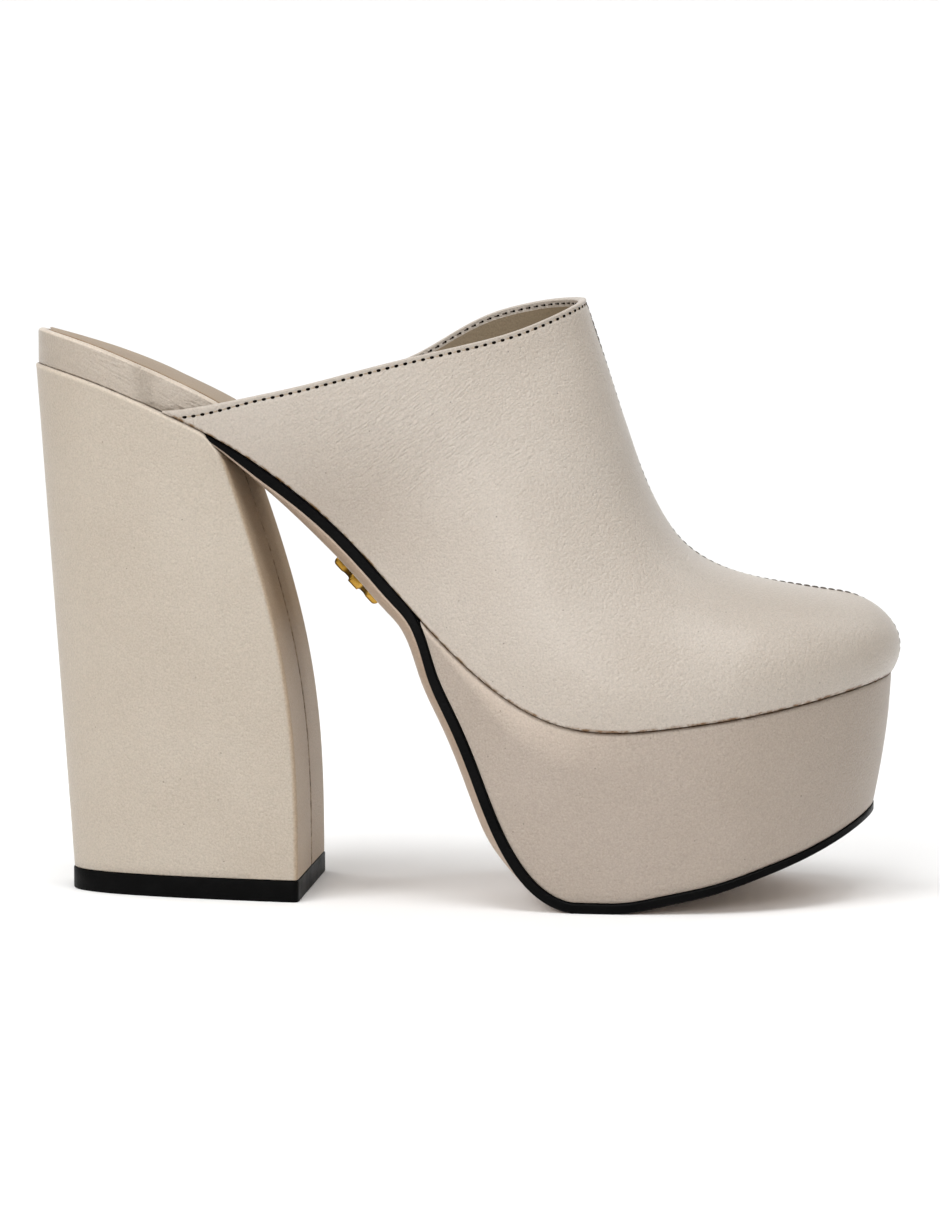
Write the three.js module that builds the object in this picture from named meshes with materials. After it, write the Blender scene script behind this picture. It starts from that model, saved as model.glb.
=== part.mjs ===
// A closed-toe platform mule for a right foot: open back, high vamp, covered platform, tall block heel.
// Millimetres. +X points to the toe, -Y to the outer side of the foot, +Z up. The shoe stands on Z = 0.
import * as THREE from "three";
import { mergeVertices } from "three/addons/utils/BufferGeometryUtils.js";

// Driving dimensions. The feather line is where the upper meets the sole.
const SHOE = {
  length: 220, // heel back to toe tip, level, along the feather line
  seatHeight: 136.5, // floor to the feather line at the back of the heel
  ballHeight: 45, // floor to the feather line under the ball of the foot
  toeSpring: 12, // what the feather line climbs from the ball to the toe tip
  seatWidth: 56,
  waistWidth: 44.5,
  ballWidth: 84,
  seatRound: 36, // length of the round stretch at the back of the seat
  seatPower: 2.4, // how bluntly the seat is rounded
  toeRound: 46, // length of the round stretch at the toe
  toePower: 2, // how bluntly the toe is rounded
  swing: 4, // how far the toe tip leans to the inner side
  gap: 0.3, // what separates two glued pieces
};
const UPPER = {
  wall: 2, // leather and lining
  instep: 107.6, // throat above the feather line at the ball
  corner: 36.4, // where the topline meets the feather line, ahead of the heel back
  bulge: 7, // how far the wall swells over its lower edge, as a pull on the curve
};
const INSOLE = {
  seatThickness: 9.2, // wrapped edge that shows behind the upper
  foreThickness: 3.6,
  inset: 0.2, // inside the heel's outline
  edgeRound: 2.2,
  recess: 1.2, // how far the sock's bed lies below the wrapped rim
  narrowFrom: 8, // where it starts to narrow, behind the topline's corner
  narrowTo: 1.5, // where it stands inside the upper's wall
};
const SOCK = { thickness: 1.1, clearance: 0.5, crown: 0.4 };
const PLATFORM = {
  start: 101.5, // where the wedge starts, ahead of the heel back
  toeRake: 4.2, // how far the toe face leans back down to the tread
  sideRake: 1.8,
  edgeRound: 1.4,
  topSetback: 0.3, // inside the upper's edge
};
const SOLE = {
  start: 42, // back end, tucked between insole and heel
  branch: 99.5, // where it leaves the feather line to run down behind the platform
  treadStart: 140, // where its flat tread starts
  treadEnd: 150,
  treadSpring: 21, // what the tread climbs to its toe end
  waistThickness: 3.2,
  treadThickness: 2.4,
  toeThickness: 1.9,
  endThickness: 0.8,
  endTaper: 22, // length over which the tucked end reaches its full thickness
  crown: 2.6, // how far the underside swells at the waist
  crownWidth: 9, // how wide the bevel from edge to swell is
  crownFrom: 8, // where the swell starts, ahead of the sole's back end
  crownTo: 40, // where it is full
  crownFade: 0.1, // share of the sole's path over which the swell fades behind the platform
  crownEnd: 0.035, // share of the path left between the swell's end and the flat tread
  tuckFrom: 4, // where the heel's top starts to dip for the tucked end, behind it
  tuckTo: 0.5, // where it has dipped
  leanFade: 20, // length ahead of the flat over which the slab turns to drop straight down
};
const HEEL = {
  footLength: 61.9,
  footWidth: 0.991 * SHOE.seatWidth,
  backRake: 8.9, // how far the back leans forward down to the floor
  seatProud: 0.5, // how far its top stands out behind the seat
  breastSweep: 18.9, // how far the breast sweeps back up to the sole
  corner: 1.2, // bevel between side and breast
  backPower: 1 / 3, // how bluntly the foot's back end is rounded
};
const LIFT = { thickness: 5.4, lip: 0.2 };
const BAR = {
  length: 15.6,
  width: 6,
  thickness: 2.6,
  collar: 3.4, // length of the raised part across its middle
  collarProud: 0.5,
  endRound: 1.2,
  at: 88.5, // where its middle is, ahead of the heel back
};
const EXTENT = { upperTurns: 48, upperRows: 20, slabTurns: 40, soleTurns: 50, heelTurns: 15, heelLevels: 12 };

const COLOURS = {
  leather: { color: 0xd6cabb, roughness: 0.45, metalness: 0 },
  wrap: { color: 0xd8ccbe, roughness: 0.45, metalness: 0 },
  lining: { color: 0xb3a283, roughness: 0.6, metalness: 0 },
  edge: { color: 0x141415, roughness: 0.4, metalness: 0 },
  rubber: { color: 0x101011, roughness: 0.6, metalness: 0 },
  brass: { color: 0xc9a13e, roughness: 0.25, metalness: 1 },
};

// Side view of the feather line. pitch is a share of the seat's height above the ball, spring of the toe spring.
const FEATHER = [
  { at: 0.0, pitch: 1.0, spring: 0 },
  { at: 0.095, pitch: 0.928, spring: 0 },
  { at: 0.165, pitch: 0.855, spring: 0 },
  { at: 0.235, pitch: 0.77, spring: 0 },
  { at: 0.305, pitch: 0.656, spring: 0 },
  { at: 0.37, pitch: 0.524, spring: 0 },
  { at: 0.43, pitch: 0.372, spring: 0 },
  { at: 0.485, pitch: 0.233, spring: 0 },
  { at: 0.545, pitch: 0.109, spring: 0 },
  { at: 0.6, pitch: 0.033, spring: 0 },
  { at: 0.66, pitch: 0.0, spring: 0.0 },
  { at: 0.74, pitch: 0.0, spring: 0.07 },
  { at: 0.82, pitch: 0.0, spring: 0.28 },
  { at: 0.91, pitch: 0.0, spring: 0.61 },
  { at: 1.0, pitch: 0.0, spring: 1.0 },
];
// Plan view. Width before its two ends are rounded, and the middle's lean to the inner side, as a share of swing.
const PLAN = [
  { at: 0.0, width: 0.98 * SHOE.seatWidth, lean: 0.0 },
  { at: 0.13, width: 1.0 * SHOE.seatWidth, lean: 0.0 },
  { at: 0.2, width: 0.965 * SHOE.seatWidth, lean: -0.1 },
  { at: 0.27, width: 0.875 * SHOE.seatWidth, lean: -0.3 },
  { at: 0.35, width: 1.0 * SHOE.waistWidth, lean: -0.6 },
  { at: 0.43, width: 1.13 * SHOE.waistWidth, lean: -0.7 },
  { at: 0.51, width: 0.76 * SHOE.ballWidth, lean: -0.45 },
  { at: 0.59, width: 0.915 * SHOE.ballWidth, lean: -0.2 },
  { at: 0.68, width: 1.0 * SHOE.ballWidth, lean: 0.0 },
  { at: 0.76, width: 1.015 * SHOE.ballWidth, lean: 0.25 },
  { at: 0.86, width: 0.995 * SHOE.ballWidth, lean: 0.6 },
  { at: 1.0, width: 0.97 * SHOE.ballWidth, lean: 1.0 },
];
// The ridge of the vamp, from above the throat to the crown of the toe. rise is a share of the instep.
const RIDGE = [
  { along: 0.62, rise: 1.12, spring: 0 },
  { along: 0.6418, rise: 1.0, spring: 0 },
  { along: 0.6655, rise: 0.857, spring: 0 },
  { along: 0.696, rise: 0.665, spring: 0 },
  { along: 0.7127, rise: 0.573, spring: 0 },
  { along: 0.7323, rise: 0.49, spring: 0 },
  { along: 0.7586, rise: 0.419, spring: 0 },
  { along: 0.7973, rise: 0.363, spring: 0.02 },
  { along: 0.84, rise: 0.312, spring: 0.22 },
  { along: 0.888, rise: 0.268, spring: 0.46 },
  { along: 0.939, rise: 0.223, spring: 0.72 },
];
// Sections of the upper by where they leave the feather line. ridge is where they end, as a share of the
// ridge; side and top say how full the section is low down and near the ridge, bulge how much it swells.
const SECTIONS = [
  { at: 0.13, ridge: 0.0, side: 0.72, top: 0.84, bulge: -0.1 },
  { at: 0.236, ridge: 0.215, side: 0.7, top: 0.9, bulge: 0.4 },
  { at: 0.341, ridge: 0.345, side: 0.66, top: 1.06, bulge: 1.4 },
  { at: 0.432, ridge: 0.469, side: 0.6, top: 1.0, bulge: 1.6 },
  { at: 0.509, ridge: 0.579, side: 0.56, top: 0.9, bulge: 1.3 },
  { at: 0.591, ridge: 0.674, side: 0.54, top: 0.81, bulge: 0.95 },
  { at: 0.682, ridge: 0.762, side: 0.52, top: 0.75, bulge: 0.8 },
  { at: 0.773, ridge: 0.848, side: 0.52, top: 0.72, bulge: 0.7 },
  { at: 0.864, ridge: 0.922, side: 0.52, top: 0.71, bulge: 0.75 },
  { at: 0.932, ridge: 0.968, side: 0.51, top: 0.72, bulge: 0.85 },
  { at: 1.0, ridge: 1.0, side: 0.5, top: 0.75, bulge: 1.0 },
];
// The topline between its corner and the throat: how much of that climb each side has made.
const TOPLINE = [
  { at: -0.15, outer: 0.005, inner: 0.005 },
  { at: 0.0, outer: 0.0, inner: 0.0 },
  { at: 0.1, outer: 0.02, inner: 0.045 },
  { at: 0.2, outer: 0.085, inner: 0.12 },
  { at: 0.33, outer: 0.185, inner: 0.235 },
  { at: 0.47, outer: 0.315, inner: 0.375 },
  { at: 0.58, outer: 0.415, inner: 0.535 },
  { at: 0.67, outer: 0.49, inner: 0.72 },
  { at: 0.75, outer: 0.555, inner: 0.865 },
  { at: 0.84, outer: 0.64, inner: 0.965 },
  { at: 0.92, outer: 0.745, inner: 1.025 },
  { at: 1.0, outer: 0.87, inner: 1.06 },
  { at: 1.1, outer: 1.05, inner: 1.09 },
];
// The back of the platform, from the branch down to the flat tread: shares of that run's length and drop.
const PLATFORM_BACK = [
  { across: 0.152, down: 0.22 },
  { across: 0.262, down: 0.352 },
  { across: 0.387, down: 0.51 },
  { across: 0.665, down: 0.86 },
  { across: 0.765, down: 0.93 },
  { across: 0.88, down: 0.978 },
];
// The climb of the tread to its toe end: shares of that run's length and of the tread's spring.
const TREAD = [
  { across: 0.19, up: 0.095 },
  { across: 0.36, up: 0.21 },
  { across: 0.54, up: 0.385 },
  { across: 0.72, up: 0.585 },
  { across: 0.88, up: 0.805 },
];
// Thickness of the insole between its seat and its forepart.
const INSOLE_TAPER = [
  { at: 0.0, seat: 1.0 },
  { at: 0.16, seat: 1.0 },
  { at: 0.25, seat: 0.95 },
  { at: 0.36, seat: 0.55 },
  { at: 0.48, seat: 0.15 },
  { at: 0.58, seat: 0.0 },
  { at: 1.0, seat: 0.0 },
];

// A natural cubic spline through the points (xs, ys), straight beyond its ends.
function spline(xs, ys) {
  const n = xs.length;
  const bend = new Array(n).fill(0);
  const share = new Array(n).fill(0);
  for (let i = 1; i < n - 1; i++) {
    const back = xs[i] - xs[i - 1];
    const next = xs[i + 1] - xs[i];
    const pivot = 2 * (back + next) - back * share[i - 1];
    const turn = (ys[i + 1] - ys[i]) / next - (ys[i] - ys[i - 1]) / back;
    share[i] = next / pivot;
    bend[i] = (6 * turn - back * bend[i - 1]) / pivot;
  }
  for (let i = n - 2; i > 0; i--) bend[i] -= share[i] * bend[i + 1];
  return (at) => {
    let i = 0;
    while (i < n - 2 && at > xs[i + 1]) i++;
    const width = xs[i + 1] - xs[i];
    const t = (at - xs[i]) / width;
    const slope = (ys[i + 1] - ys[i]) / width;
    if (t < 0) return ys[i] + (at - xs[i]) * (slope - (width * bend[i + 1]) / 6);
    if (t > 1) return ys[i + 1] + (at - xs[i + 1]) * (slope + (width * bend[i]) / 6);
    const a = 1 - t;
    const curl = ((a ** 3 - a) * bend[i] + (t ** 3 - t) * bend[i + 1]) * width * width;
    return a * ys[i] + t * ys[i + 1] + curl / 6;
  };
}
const column = (rows, name) => spline(rows.map((row) => row.at), rows.map((row) => row[name]));
const mix = (a, b, t) => a + (b - a) * t;
const clamp01 = (t) => Math.min(1, Math.max(0, t));
const ease = (from, to, x) => {
  const t = clamp01((x - from) / (to - from));
  return t * t * (3 - 2 * t);
};

// A smooth side-view path through points [x, z]: at(0) is its start and at(1) its end, by length.
function pathThrough(points) {
  const run = [0];
  for (let i = 1; i < points.length; i++) {
    run.push(run[i - 1] + Math.hypot(points[i][0] - points[i - 1][0], points[i][1] - points[i - 1][1]));
  }
  const total = run[run.length - 1];
  const x = spline(run, points.map((p) => p[0]));
  const z = spline(run, points.map((p) => p[1]));
  const step = 1e-4;
  return {
    total,
    shareOf: (i) => run[i] / total,
    at: (share) => [x(share * total), z(share * total)],
    // The unit direction along the path.
    along(share) {
      const dx = x((share + step) * total) - x((share - step) * total);
      const dz = z((share + step) * total) - z((share - step) * total);
      const size = Math.hypot(dx, dz);
      return [dx / size, dz / size];
    },
  };
}

// The last's feather line in side view and its plan.
const featherPitch = column(FEATHER, "pitch");
const featherSpring = column(FEATHER, "spring");
const planWidth = column(PLAN, "width");
const planLean = column(PLAN, "lean");
function featherHeight(x) {
  const at = x / SHOE.length;
  const pitch = featherPitch(at) * (SHOE.seatHeight - SHOE.ballHeight);
  return SHOE.ballHeight + pitch + featherSpring(at) * SHOE.toeSpring;
}
const centreLine = (x) => planLean(x / SHOE.length) * SHOE.swing;
// How far x lies into the round stretch at the toe, from 0 to 1 at its tip.
const intoToe = (x) => clamp01((x - (SHOE.length - SHOE.toeRound)) / SHOE.toeRound);
const rounded = (t, power) => (1 - t ** power) ** (1 / power);
function halfWidth(x) {
  const seat = clamp01((SHOE.seatRound - x) / SHOE.seatRound);
  const ends = rounded(intoToe(x), SHOE.toePower) * rounded(seat, SHOE.seatPower);
  return 0.5 * planWidth(x / SHOE.length) * ends;
}

// The outline from the start x round the toe and back: turn -1 is the outer side, 0 the toe tip, 1 the inner.
function outline(start, turn) {
  const x = start + (SHOE.length - start) * Math.cos((turn * Math.PI) / 2);
  return [x, centreLine(x) + Math.sign(turn) * halfWidth(x)];
}
// The direction in which a section of the last opens: sideways, then fanning out round the toe.
function outward(x, turn) {
  const toe = intoToe(x);
  return [toe, Math.sign(turn) * Math.sqrt(1 - toe * toe)];
}

// The ridge of the vamp.
const ridge = pathThrough(
  RIDGE.map((row) => [
    row.along * SHOE.length,
    SHOE.ballHeight + row.rise * UPPER.instep + row.spring * SHOE.toeSpring,
  ]),
);
const sectionStart = SECTIONS[0].at * SHOE.length;
const section = Object.fromEntries(
  ["ridge", "side", "top", "bulge"].map((name) => [name, column(SECTIONS, name)]),
);

// A point of the last's upper surface: turn runs round the feather line and h from it up to the ridge.
function lastPoint(turn, h) {
  const [x, y] = outline(sectionStart, turn);
  const [ox, oy] = outward(x, turn);
  const z = featherHeight(x);
  const at = x / SHOE.length;
  const share = Math.min(1, section.ridge(at));
  const [mx, mz] = ridge.at(share);
  const [tx, tz] = ridge.along(share);
  const my = centreLine(mx);
  const inset = (x - mx) * ox + (y - my) * oy;
  const climb = [mx + inset * ox - x, my + inset * oy - y, mz - z];
  const side = section.side(at);
  const top = section.top(at) * inset;
  const bulge = section.bulge(at) * UPPER.bulge;
  const points = [
    [x, y, z],
    [x + side * climb[0] + bulge * ox, y + side * climb[1] + bulge * oy, z + side * climb[2]],
    [mx + top * ox * tx, my + top * oy, mz + top * ox * tz],
    [mx, my, mz],
  ];
  const a = 1 - h;
  const weights = [a ** 3, 3 * a * a * h, 3 * a * h * h, h ** 3];
  return [0, 1, 2].map((axis) => points.reduce((sum, p, i) => sum + p[axis] * weights[i], 0));
}

// The sheet that cuts the collar: it runs from the outer topline over to the inner one.
const topOuter = column(TOPLINE, "outer");
const topInner = column(TOPLINE, "inner");
const cornerHeight = featherHeight(UPPER.corner);
const throatX = RIDGE[1].along * SHOE.length;
const throatHeight = SHOE.ballHeight + UPPER.instep;
function toplineHeight(x, y) {
  const at = (x - UPPER.corner) / (throatX - UPPER.corner);
  const across = ease(-0.5 * SHOE.seatWidth, 0.5 * SHOE.seatWidth, y);
  return mix(cornerHeight, throatHeight, mix(topOuter(at), topInner(at), across));
}
// How far back the leather reaches at height h on one side (-1 outer, 1 inner), as a turn.
function toplineTurn(side, h) {
  let covered = 0.3;
  let open = 1;
  for (let i = 0; i < 40; i++) {
    const turn = (covered + open) / 2;
    const [x, y, z] = lastPoint(side * turn, h);
    if (z < toplineHeight(x, y)) covered = turn;
    else open = turn;
  }
  return covered;
}

// A mesh over a grid of points, its doubled points merged and its empty triangles dropped.
function skin(rows, closed) {
  const width = rows[0].length;
  const last = closed ? width : width - 1;
  const index = [];
  for (let i = 0; i + 1 < rows.length; i++) {
    for (let j = 0; j < last; j++) {
      const k = (j + 1) % width;
      const corners = [i * width + j, i * width + k, (i + 1) * width + k, (i + 1) * width + j];
      index.push(corners[0], corners[1], corners[2], corners[0], corners[2], corners[3]);
    }
  }
  const geometry = new THREE.BufferGeometry();
  geometry.setAttribute("position", new THREE.Float32BufferAttribute(rows.flat(2), 3));
  geometry.setIndex(index);
  return facingOut(mergeVertices(geometry, 1e-3));
}
function facingOut(geometry) {
  const at = geometry.attributes.position;
  const kept = [];
  const a = new THREE.Vector3();
  const b = new THREE.Vector3();
  const c = new THREE.Vector3();
  let volume = 0;
  for (let i = 0; i < geometry.index.count; i += 3) {
    const [p, q, r] = [0, 1, 2].map((k) => geometry.index.getX(i + k));
    if (p === q || q === r || r === p) continue;
    kept.push(p, q, r);
    b.fromBufferAttribute(at, q).cross(c.fromBufferAttribute(at, r));
    volume += a.fromBufferAttribute(at, p).dot(b);
  }
  if (volume < 0) kept.reverse();
  geometry.setIndex(kept);
  geometry.computeVertexNormals();
  return geometry;
}

// Gives a sheet a wall on its inner side and closes the wall's rims.
function thicken(sheet, wall) {
  const at = sheet.attributes.position;
  const normal = sheet.attributes.normal;
  const count = at.count;
  const points = Array.from(at.array);
  for (let i = 0; i < count; i++) {
    points.push(
      at.getX(i) - wall * normal.getX(i),
      at.getY(i) - wall * normal.getY(i),
      at.getZ(i) - wall * normal.getZ(i),
    );
  }
  const index = Array.from(sheet.index.array);
  const outer = index.length;
  const edges = new Map();
  for (let i = 0; i < outer; i += 3) {
    const [p, q, r] = index.slice(i, i + 3);
    index.push(count + r, count + q, count + p);
    for (const [from, to] of [[p, q], [q, r], [r, p]]) {
      if (!edges.delete(`${to},${from}`)) edges.set(`${from},${to}`, [from, to]);
    }
  }
  for (const [from, to] of edges.values()) {
    index.push(to, from, count + from, to, count + from, count + to);
  }
  const geometry = new THREE.BufferGeometry();
  geometry.setAttribute("position", new THREE.Float32BufferAttribute(points, 3));
  geometry.setIndex(index);
  return facingOut(geometry);
}

// The upper: one hollow shell, open underneath, at the back and at the collar.
function upperGeometry() {
  const rows = [];
  for (let i = 0; i <= EXTENT.upperRows; i++) {
    const h = i / EXTENT.upperRows;
    const outer = toplineTurn(-1, h);
    const inner = i === EXTENT.upperRows ? outer : toplineTurn(1, h);
    const row = [];
    for (let j = -EXTENT.upperTurns / 2; j <= EXTENT.upperTurns / 2; j++) {
      const turn = (2 * j) / EXTENT.upperTurns;
      row.push(lastPoint(turn * (turn < 0 ? outer : inner), h));
    }
    rows.push(row);
  }
  return thicken(skin(rows, false), UPPER.wall);
}

// A closed outline of the whole foot, an inset inside its edge: turn runs from 0 to 1 round it.
function footLoop(turn, inset) {
  const spot = (share) => {
    const angle = share * 2 * Math.PI;
    const x = 0.5 * SHOE.length * (1 + Math.cos(angle));
    return [x, centreLine(x) + Math.sign(Math.sin(angle)) * halfWidth(x)];
  };
  const step = 1e-3;
  const [x, y] = spot(turn);
  const a = spot(turn - step);
  const b = spot(turn + step);
  const size = Math.hypot(b[0] - a[0], b[1] - a[1]);
  const depth = typeof inset === "function" ? inset(x) : inset;
  return [x - (depth * (b[1] - a[1])) / size, y + (depth * (b[0] - a[0])) / size];
}
// A slab built up from loops: each level has an inset, a share of the width and a height over x.
function footSlab(levels) {
  const count = 2 * EXTENT.slabTurns;
  const rows = levels.map(({ inset, share = 1, height }) => {
    const row = [];
    for (let j = 0; j < count; j++) {
      // Both sides of the middle line come from one turn, so that they meet exactly.
      const mirrored = share === 0 && j > count / 2 ? count - j : j;
      const [x, y] = footLoop(mirrored / count, inset);
      row.push([x, mix(centreLine(x), y, share), height(x)]);
    }
    return row;
  });
  return skin(rows, true);
}
const insoleSeat = column(INSOLE_TAPER, "seat");
const insoleThickness = (x) => {
  const seat = clamp01(insoleSeat(x / SHOE.length));
  return mix(INSOLE.foreThickness, INSOLE.seatThickness, seat);
};
// The insole narrows ahead of the corner, to stand inside the upper's wall.
const insoleInset = (x) => {
  const inside = UPPER.wall + 2 * SHOE.gap;
  return mix(INSOLE.inset, inside, ease(UPPER.corner - INSOLE.narrowFrom, UPPER.corner - INSOLE.narrowTo, x));
};
function insoleGeometry() {
  const top = (drop) => (x) => featherHeight(x) + insoleThickness(x) - drop;
  const round = INSOLE.edgeRound;
  return footSlab([
    { inset: insoleInset, share: 0, height: featherHeight },
    { inset: (x) => insoleInset(x) + 0.4, height: featherHeight },
    { inset: insoleInset, height: (x) => featherHeight(x) + 0.4 },
    { inset: insoleInset, height: top(round) },
    { inset: (x) => insoleInset(x) + 0.3 * round, height: top(0.3 * round) },
    { inset: (x) => insoleInset(x) + round, height: top(0) },
    { inset: (x) => insoleInset(x) + round + 0.4, height: top(INSOLE.recess) },
    { inset: insoleInset, share: 0, height: top(INSOLE.recess) },
  ]);
}
function sockGeometry() {
  const border = (x) => insoleInset(x) + INSOLE.edgeRound + SOCK.clearance;
  const base = (x) => featherHeight(x) + insoleThickness(x) - INSOLE.recess + SHOE.gap;
  const padding = (x) => SOCK.crown * clamp01(insoleSeat(x / SHOE.length));
  return footSlab([
    { inset: border, share: 0, height: base },
    { inset: border, height: base },
    { inset: border, height: (x) => base(x) + 0.6 * SOCK.thickness },
    { inset: (x) => border(x) + 0.8, height: (x) => base(x) + SOCK.thickness },
    { inset: border, share: 0.5, height: (x) => base(x) + SOCK.thickness + 0.8 * padding(x) },
    { inset: border, share: 0, height: (x) => base(x) + SOCK.thickness + padding(x) },
  ]);
}

// Side view of the outsole's upper face: along the feather line, down behind the platform, along the tread.
const treadTop = SOLE.treadThickness;
const soleToe = SHOE.length - PLATFORM.toeRake;
const underFeather = (x) => featherHeight(x) - SHOE.gap;
const WAIST_STEPS = 14;
const waistPoints = Array.from({ length: WAIST_STEPS }, (_, i) => {
  const x = mix(SOLE.start, SOLE.branch, i / (WAIST_STEPS - 1));
  return [x, underFeather(x)];
});
const branchDrop = underFeather(SOLE.branch) - treadTop;
const backPoints = PLATFORM_BACK.map((row) => [
  mix(SOLE.branch, SOLE.treadStart, row.across),
  underFeather(SOLE.branch) - row.down * branchDrop,
]);
const treadPoints = TREAD.map((row) => [
  mix(SOLE.treadEnd, soleToe, row.across),
  treadTop + row.up * SOLE.treadSpring,
]);
const solePath = pathThrough([
  ...waistPoints,
  ...backPoints,
  [SOLE.treadStart, treadTop],
  [mix(SOLE.treadStart, SOLE.treadEnd, 0.5), treadTop],
  [SOLE.treadEnd, treadTop],
  ...treadPoints,
  [soleToe, treadTop + SOLE.treadSpring],
]);
// The path, kept from dipping below its flat.
function solePoint(share) {
  const [x, z] = solePath.at(share);
  return [x, Math.max(z, treadTop)];
}
const branchShare = solePath.shareOf(WAIST_STEPS - 1);
const flatShare = solePath.shareOf(WAIST_STEPS + backPoints.length);
// The share of the path where it reaches x.
function soleShareAt(x) {
  let low = 0;
  let high = 1;
  for (let i = 0; i < 40; i++) {
    const share = (low + high) / 2;
    if (solePath.at(share)[0] < x) low = share;
    else high = share;
  }
  return low;
}
const platformShare = soleShareAt(PLATFORM.start);
function soleThickness(share) {
  const x = solePath.at(share)[0];
  const tuck = ease(SOLE.start, SOLE.start + SOLE.endTaper, x);
  const tread = ease(branchShare - 0.02, branchShare + 0.06, share);
  const fore = mix(SOLE.treadThickness, SOLE.toeThickness, ease(SOLE.treadEnd, soleToe, x));
  return mix(SOLE.endThickness, mix(SOLE.waistThickness, fore, tread), tuck);
}
function soleCrown(share) {
  const x = solePath.at(share)[0];
  const start = ease(SOLE.start + SOLE.crownFrom, SOLE.start + SOLE.crownTo, x);
  const end = flatShare - SOLE.crownEnd;
  return SOLE.crown * start * (1 - ease(end - SOLE.crownFade, end, share));
}
// The outline over the tread is the platform's, drawn in towards the tread by its rakes.
const rakeShare = (x) => (x - SOLE.branch) / (SHOE.length - PLATFORM.toeRake - SOLE.branch);
function soleEdge(x, sign, depth) {
  const drawn = clamp01(rakeShare(x)) * PLATFORM.toeRake * depth;
  const over = Math.min(SHOE.length, x + drawn);
  const rake = PLATFORM.sideRake * depth * ease(SOLE.branch, SOLE.treadStart, x);
  const half = halfWidth(over);
  return centreLine(over) + sign * half * (1 - rake / (0.5 * SHOE.ballWidth));
}
// Loops round a slab that follows the sole's path, from the share `from` round the toe and back.
function soleLoops(from, turns, levels) {
  return levels.map((level) => {
    const row = [];
    for (let j = -turns; j <= turns; j++) {
      const turn = level.width === 0 ? Math.abs(j) : j;
      const share = mix(from, 1, Math.cos((turn / turns) * (Math.PI / 2)));
      row.push(level.point(share, Math.sign(turn)));
    }
    return row;
  });
}
function outsoleGeometry() {
  // A point under the path at a depth, and an inset from its edge.
  const spot = (depth, inset, width = 1) => ({
    width,
    point(share, sign) {
      const [x, z] = solePoint(share);
      const [ax, az] = solePath.along(share);
      const down = depth(share);
      const edge = soleEdge(x, sign, 1);
      const middle = centreLine(Math.min(SHOE.length, x + clamp01(rakeShare(x)) * PLATFORM.toeRake));
      const half = Math.abs(edge - middle);
      const kept = width === 0 ? 0 : Math.max(0, half - inset) / Math.max(half, 1e-9);
      // Under the tread the slab drops straight down, so that its toe end stays below the platform's.
      const lean = az * (1 - ease(SOLE.treadEnd, SOLE.treadEnd + SOLE.leanFade, x));
      return [x + down * lean, mix(middle, edge, kept), z - down * ax];
    },
  });
  const full = (share) => soleThickness(share);
  const swollen = (part) => (share) => soleThickness(share) + part * soleCrown(share);
  return skin(
    soleLoops(0, EXTENT.soleTurns, [
      spot(() => 0, 0, 0),
      spot(() => 0, 0),
      spot(full, 0),
      spot(swollen(0.6), 0.35 * SOLE.crownWidth),
      spot(swollen(1), SOLE.crownWidth),
      spot(swollen(1), 0, 0),
    ]),
    true,
  );
}
function platformGeometry() {
  const level = (depth, inset, width = 1) => ({
    width,
    point(share, sign) {
      const [x, z] = solePoint(share);
      const [ax, az] = solePath.along(share);
      const [bottomX, bottomZ] = [x - SHOE.gap * az, z + SHOE.gap * ax];
      const topX = Math.min(SHOE.length, x + clamp01(rakeShare(x)) * PLATFORM.toeRake);
      const topZ = featherHeight(topX) - SHOE.gap;
      const tall = topZ - bottomZ;
      const sunk = typeof depth === "function" ? depth(tall) : depth;
      const px = mix(topX, bottomX, sunk ** 1.6);
      const edge = mix(soleEdge(topX, sign, 0), soleEdge(x, sign, 1), sunk ** 1.6);
      const middle = centreLine(topX);
      const half = Math.abs(edge - middle);
      const kept = width === 0 ? 0 : Math.max(0, half - PLATFORM.topSetback - inset) / Math.max(half, 1e-9);
      return [px, mix(middle, edge, kept), mix(topZ, bottomZ, sunk)];
    },
  });
  const round = (tall) => Math.min(0.25, PLATFORM.edgeRound / tall);
  return skin(
    soleLoops(platformShare, EXTENT.slabTurns, [
      level(0, 0, 0),
      level(0, PLATFORM.edgeRound),
      level((tall) => 0.3 * round(tall), 0.3 * PLATFORM.edgeRound),
      level(round, 0),
      level(0.5, 0),
      level(0.8, 0),
      level(1, 0),
      level(1, 0, 0),
    ]),
    true,
  );
}

// The heel's outline at a level from 0 at its foot to 1 at its seat. turn -1 and 1 are the breast's two corners.
const breastFoot = HEEL.backRake - HEEL.seatProud + HEEL.footLength;
const breastTop = breastFoot - HEEL.breastSweep;
function heelSpot(turn, level, lip = 0) {
  const back = HEEL.backRake * (1 - level) - HEEL.seatProud - lip;
  const breast = breastFoot - HEEL.breastSweep * level ** 3 + lip;
  const along = 1 - Math.cos((turn * Math.PI) / 2);
  const x = mix(back, breast, along);
  const seatX = mix(0, breastTop, along);
  const foot = 0.5 * HEEL.footWidth * along ** HEEL.backPower;
  const seat = halfWidth(seatX);
  const half = mix(foot, seat, level) + (along > 0 ? lip : 0);
  return [x, mix(0, centreLine(seatX), level) + Math.sign(turn) * half];
}
// One loop of the heel, with its two front corners bevelled.
function heelLoop(level, share, height, lip = 0) {
  const turns = EXTENT.heelTurns;
  const points = [];
  for (let j = -turns; j <= turns; j++) points.push(heelSpot(j / turns, level, lip));
  const first = points[0];
  const last = points[points.length - 1];
  points[0] = [first[0] - HEEL.corner, first[1]];
  points[points.length - 1] = [last[0] - HEEL.corner, last[1]];
  points.unshift([first[0], first[1] + HEEL.corner]);
  points.push([last[0], last[1] - HEEL.corner]);
  return points.map(([x, y]) => [x, y * share, height(x)]);
}
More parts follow.
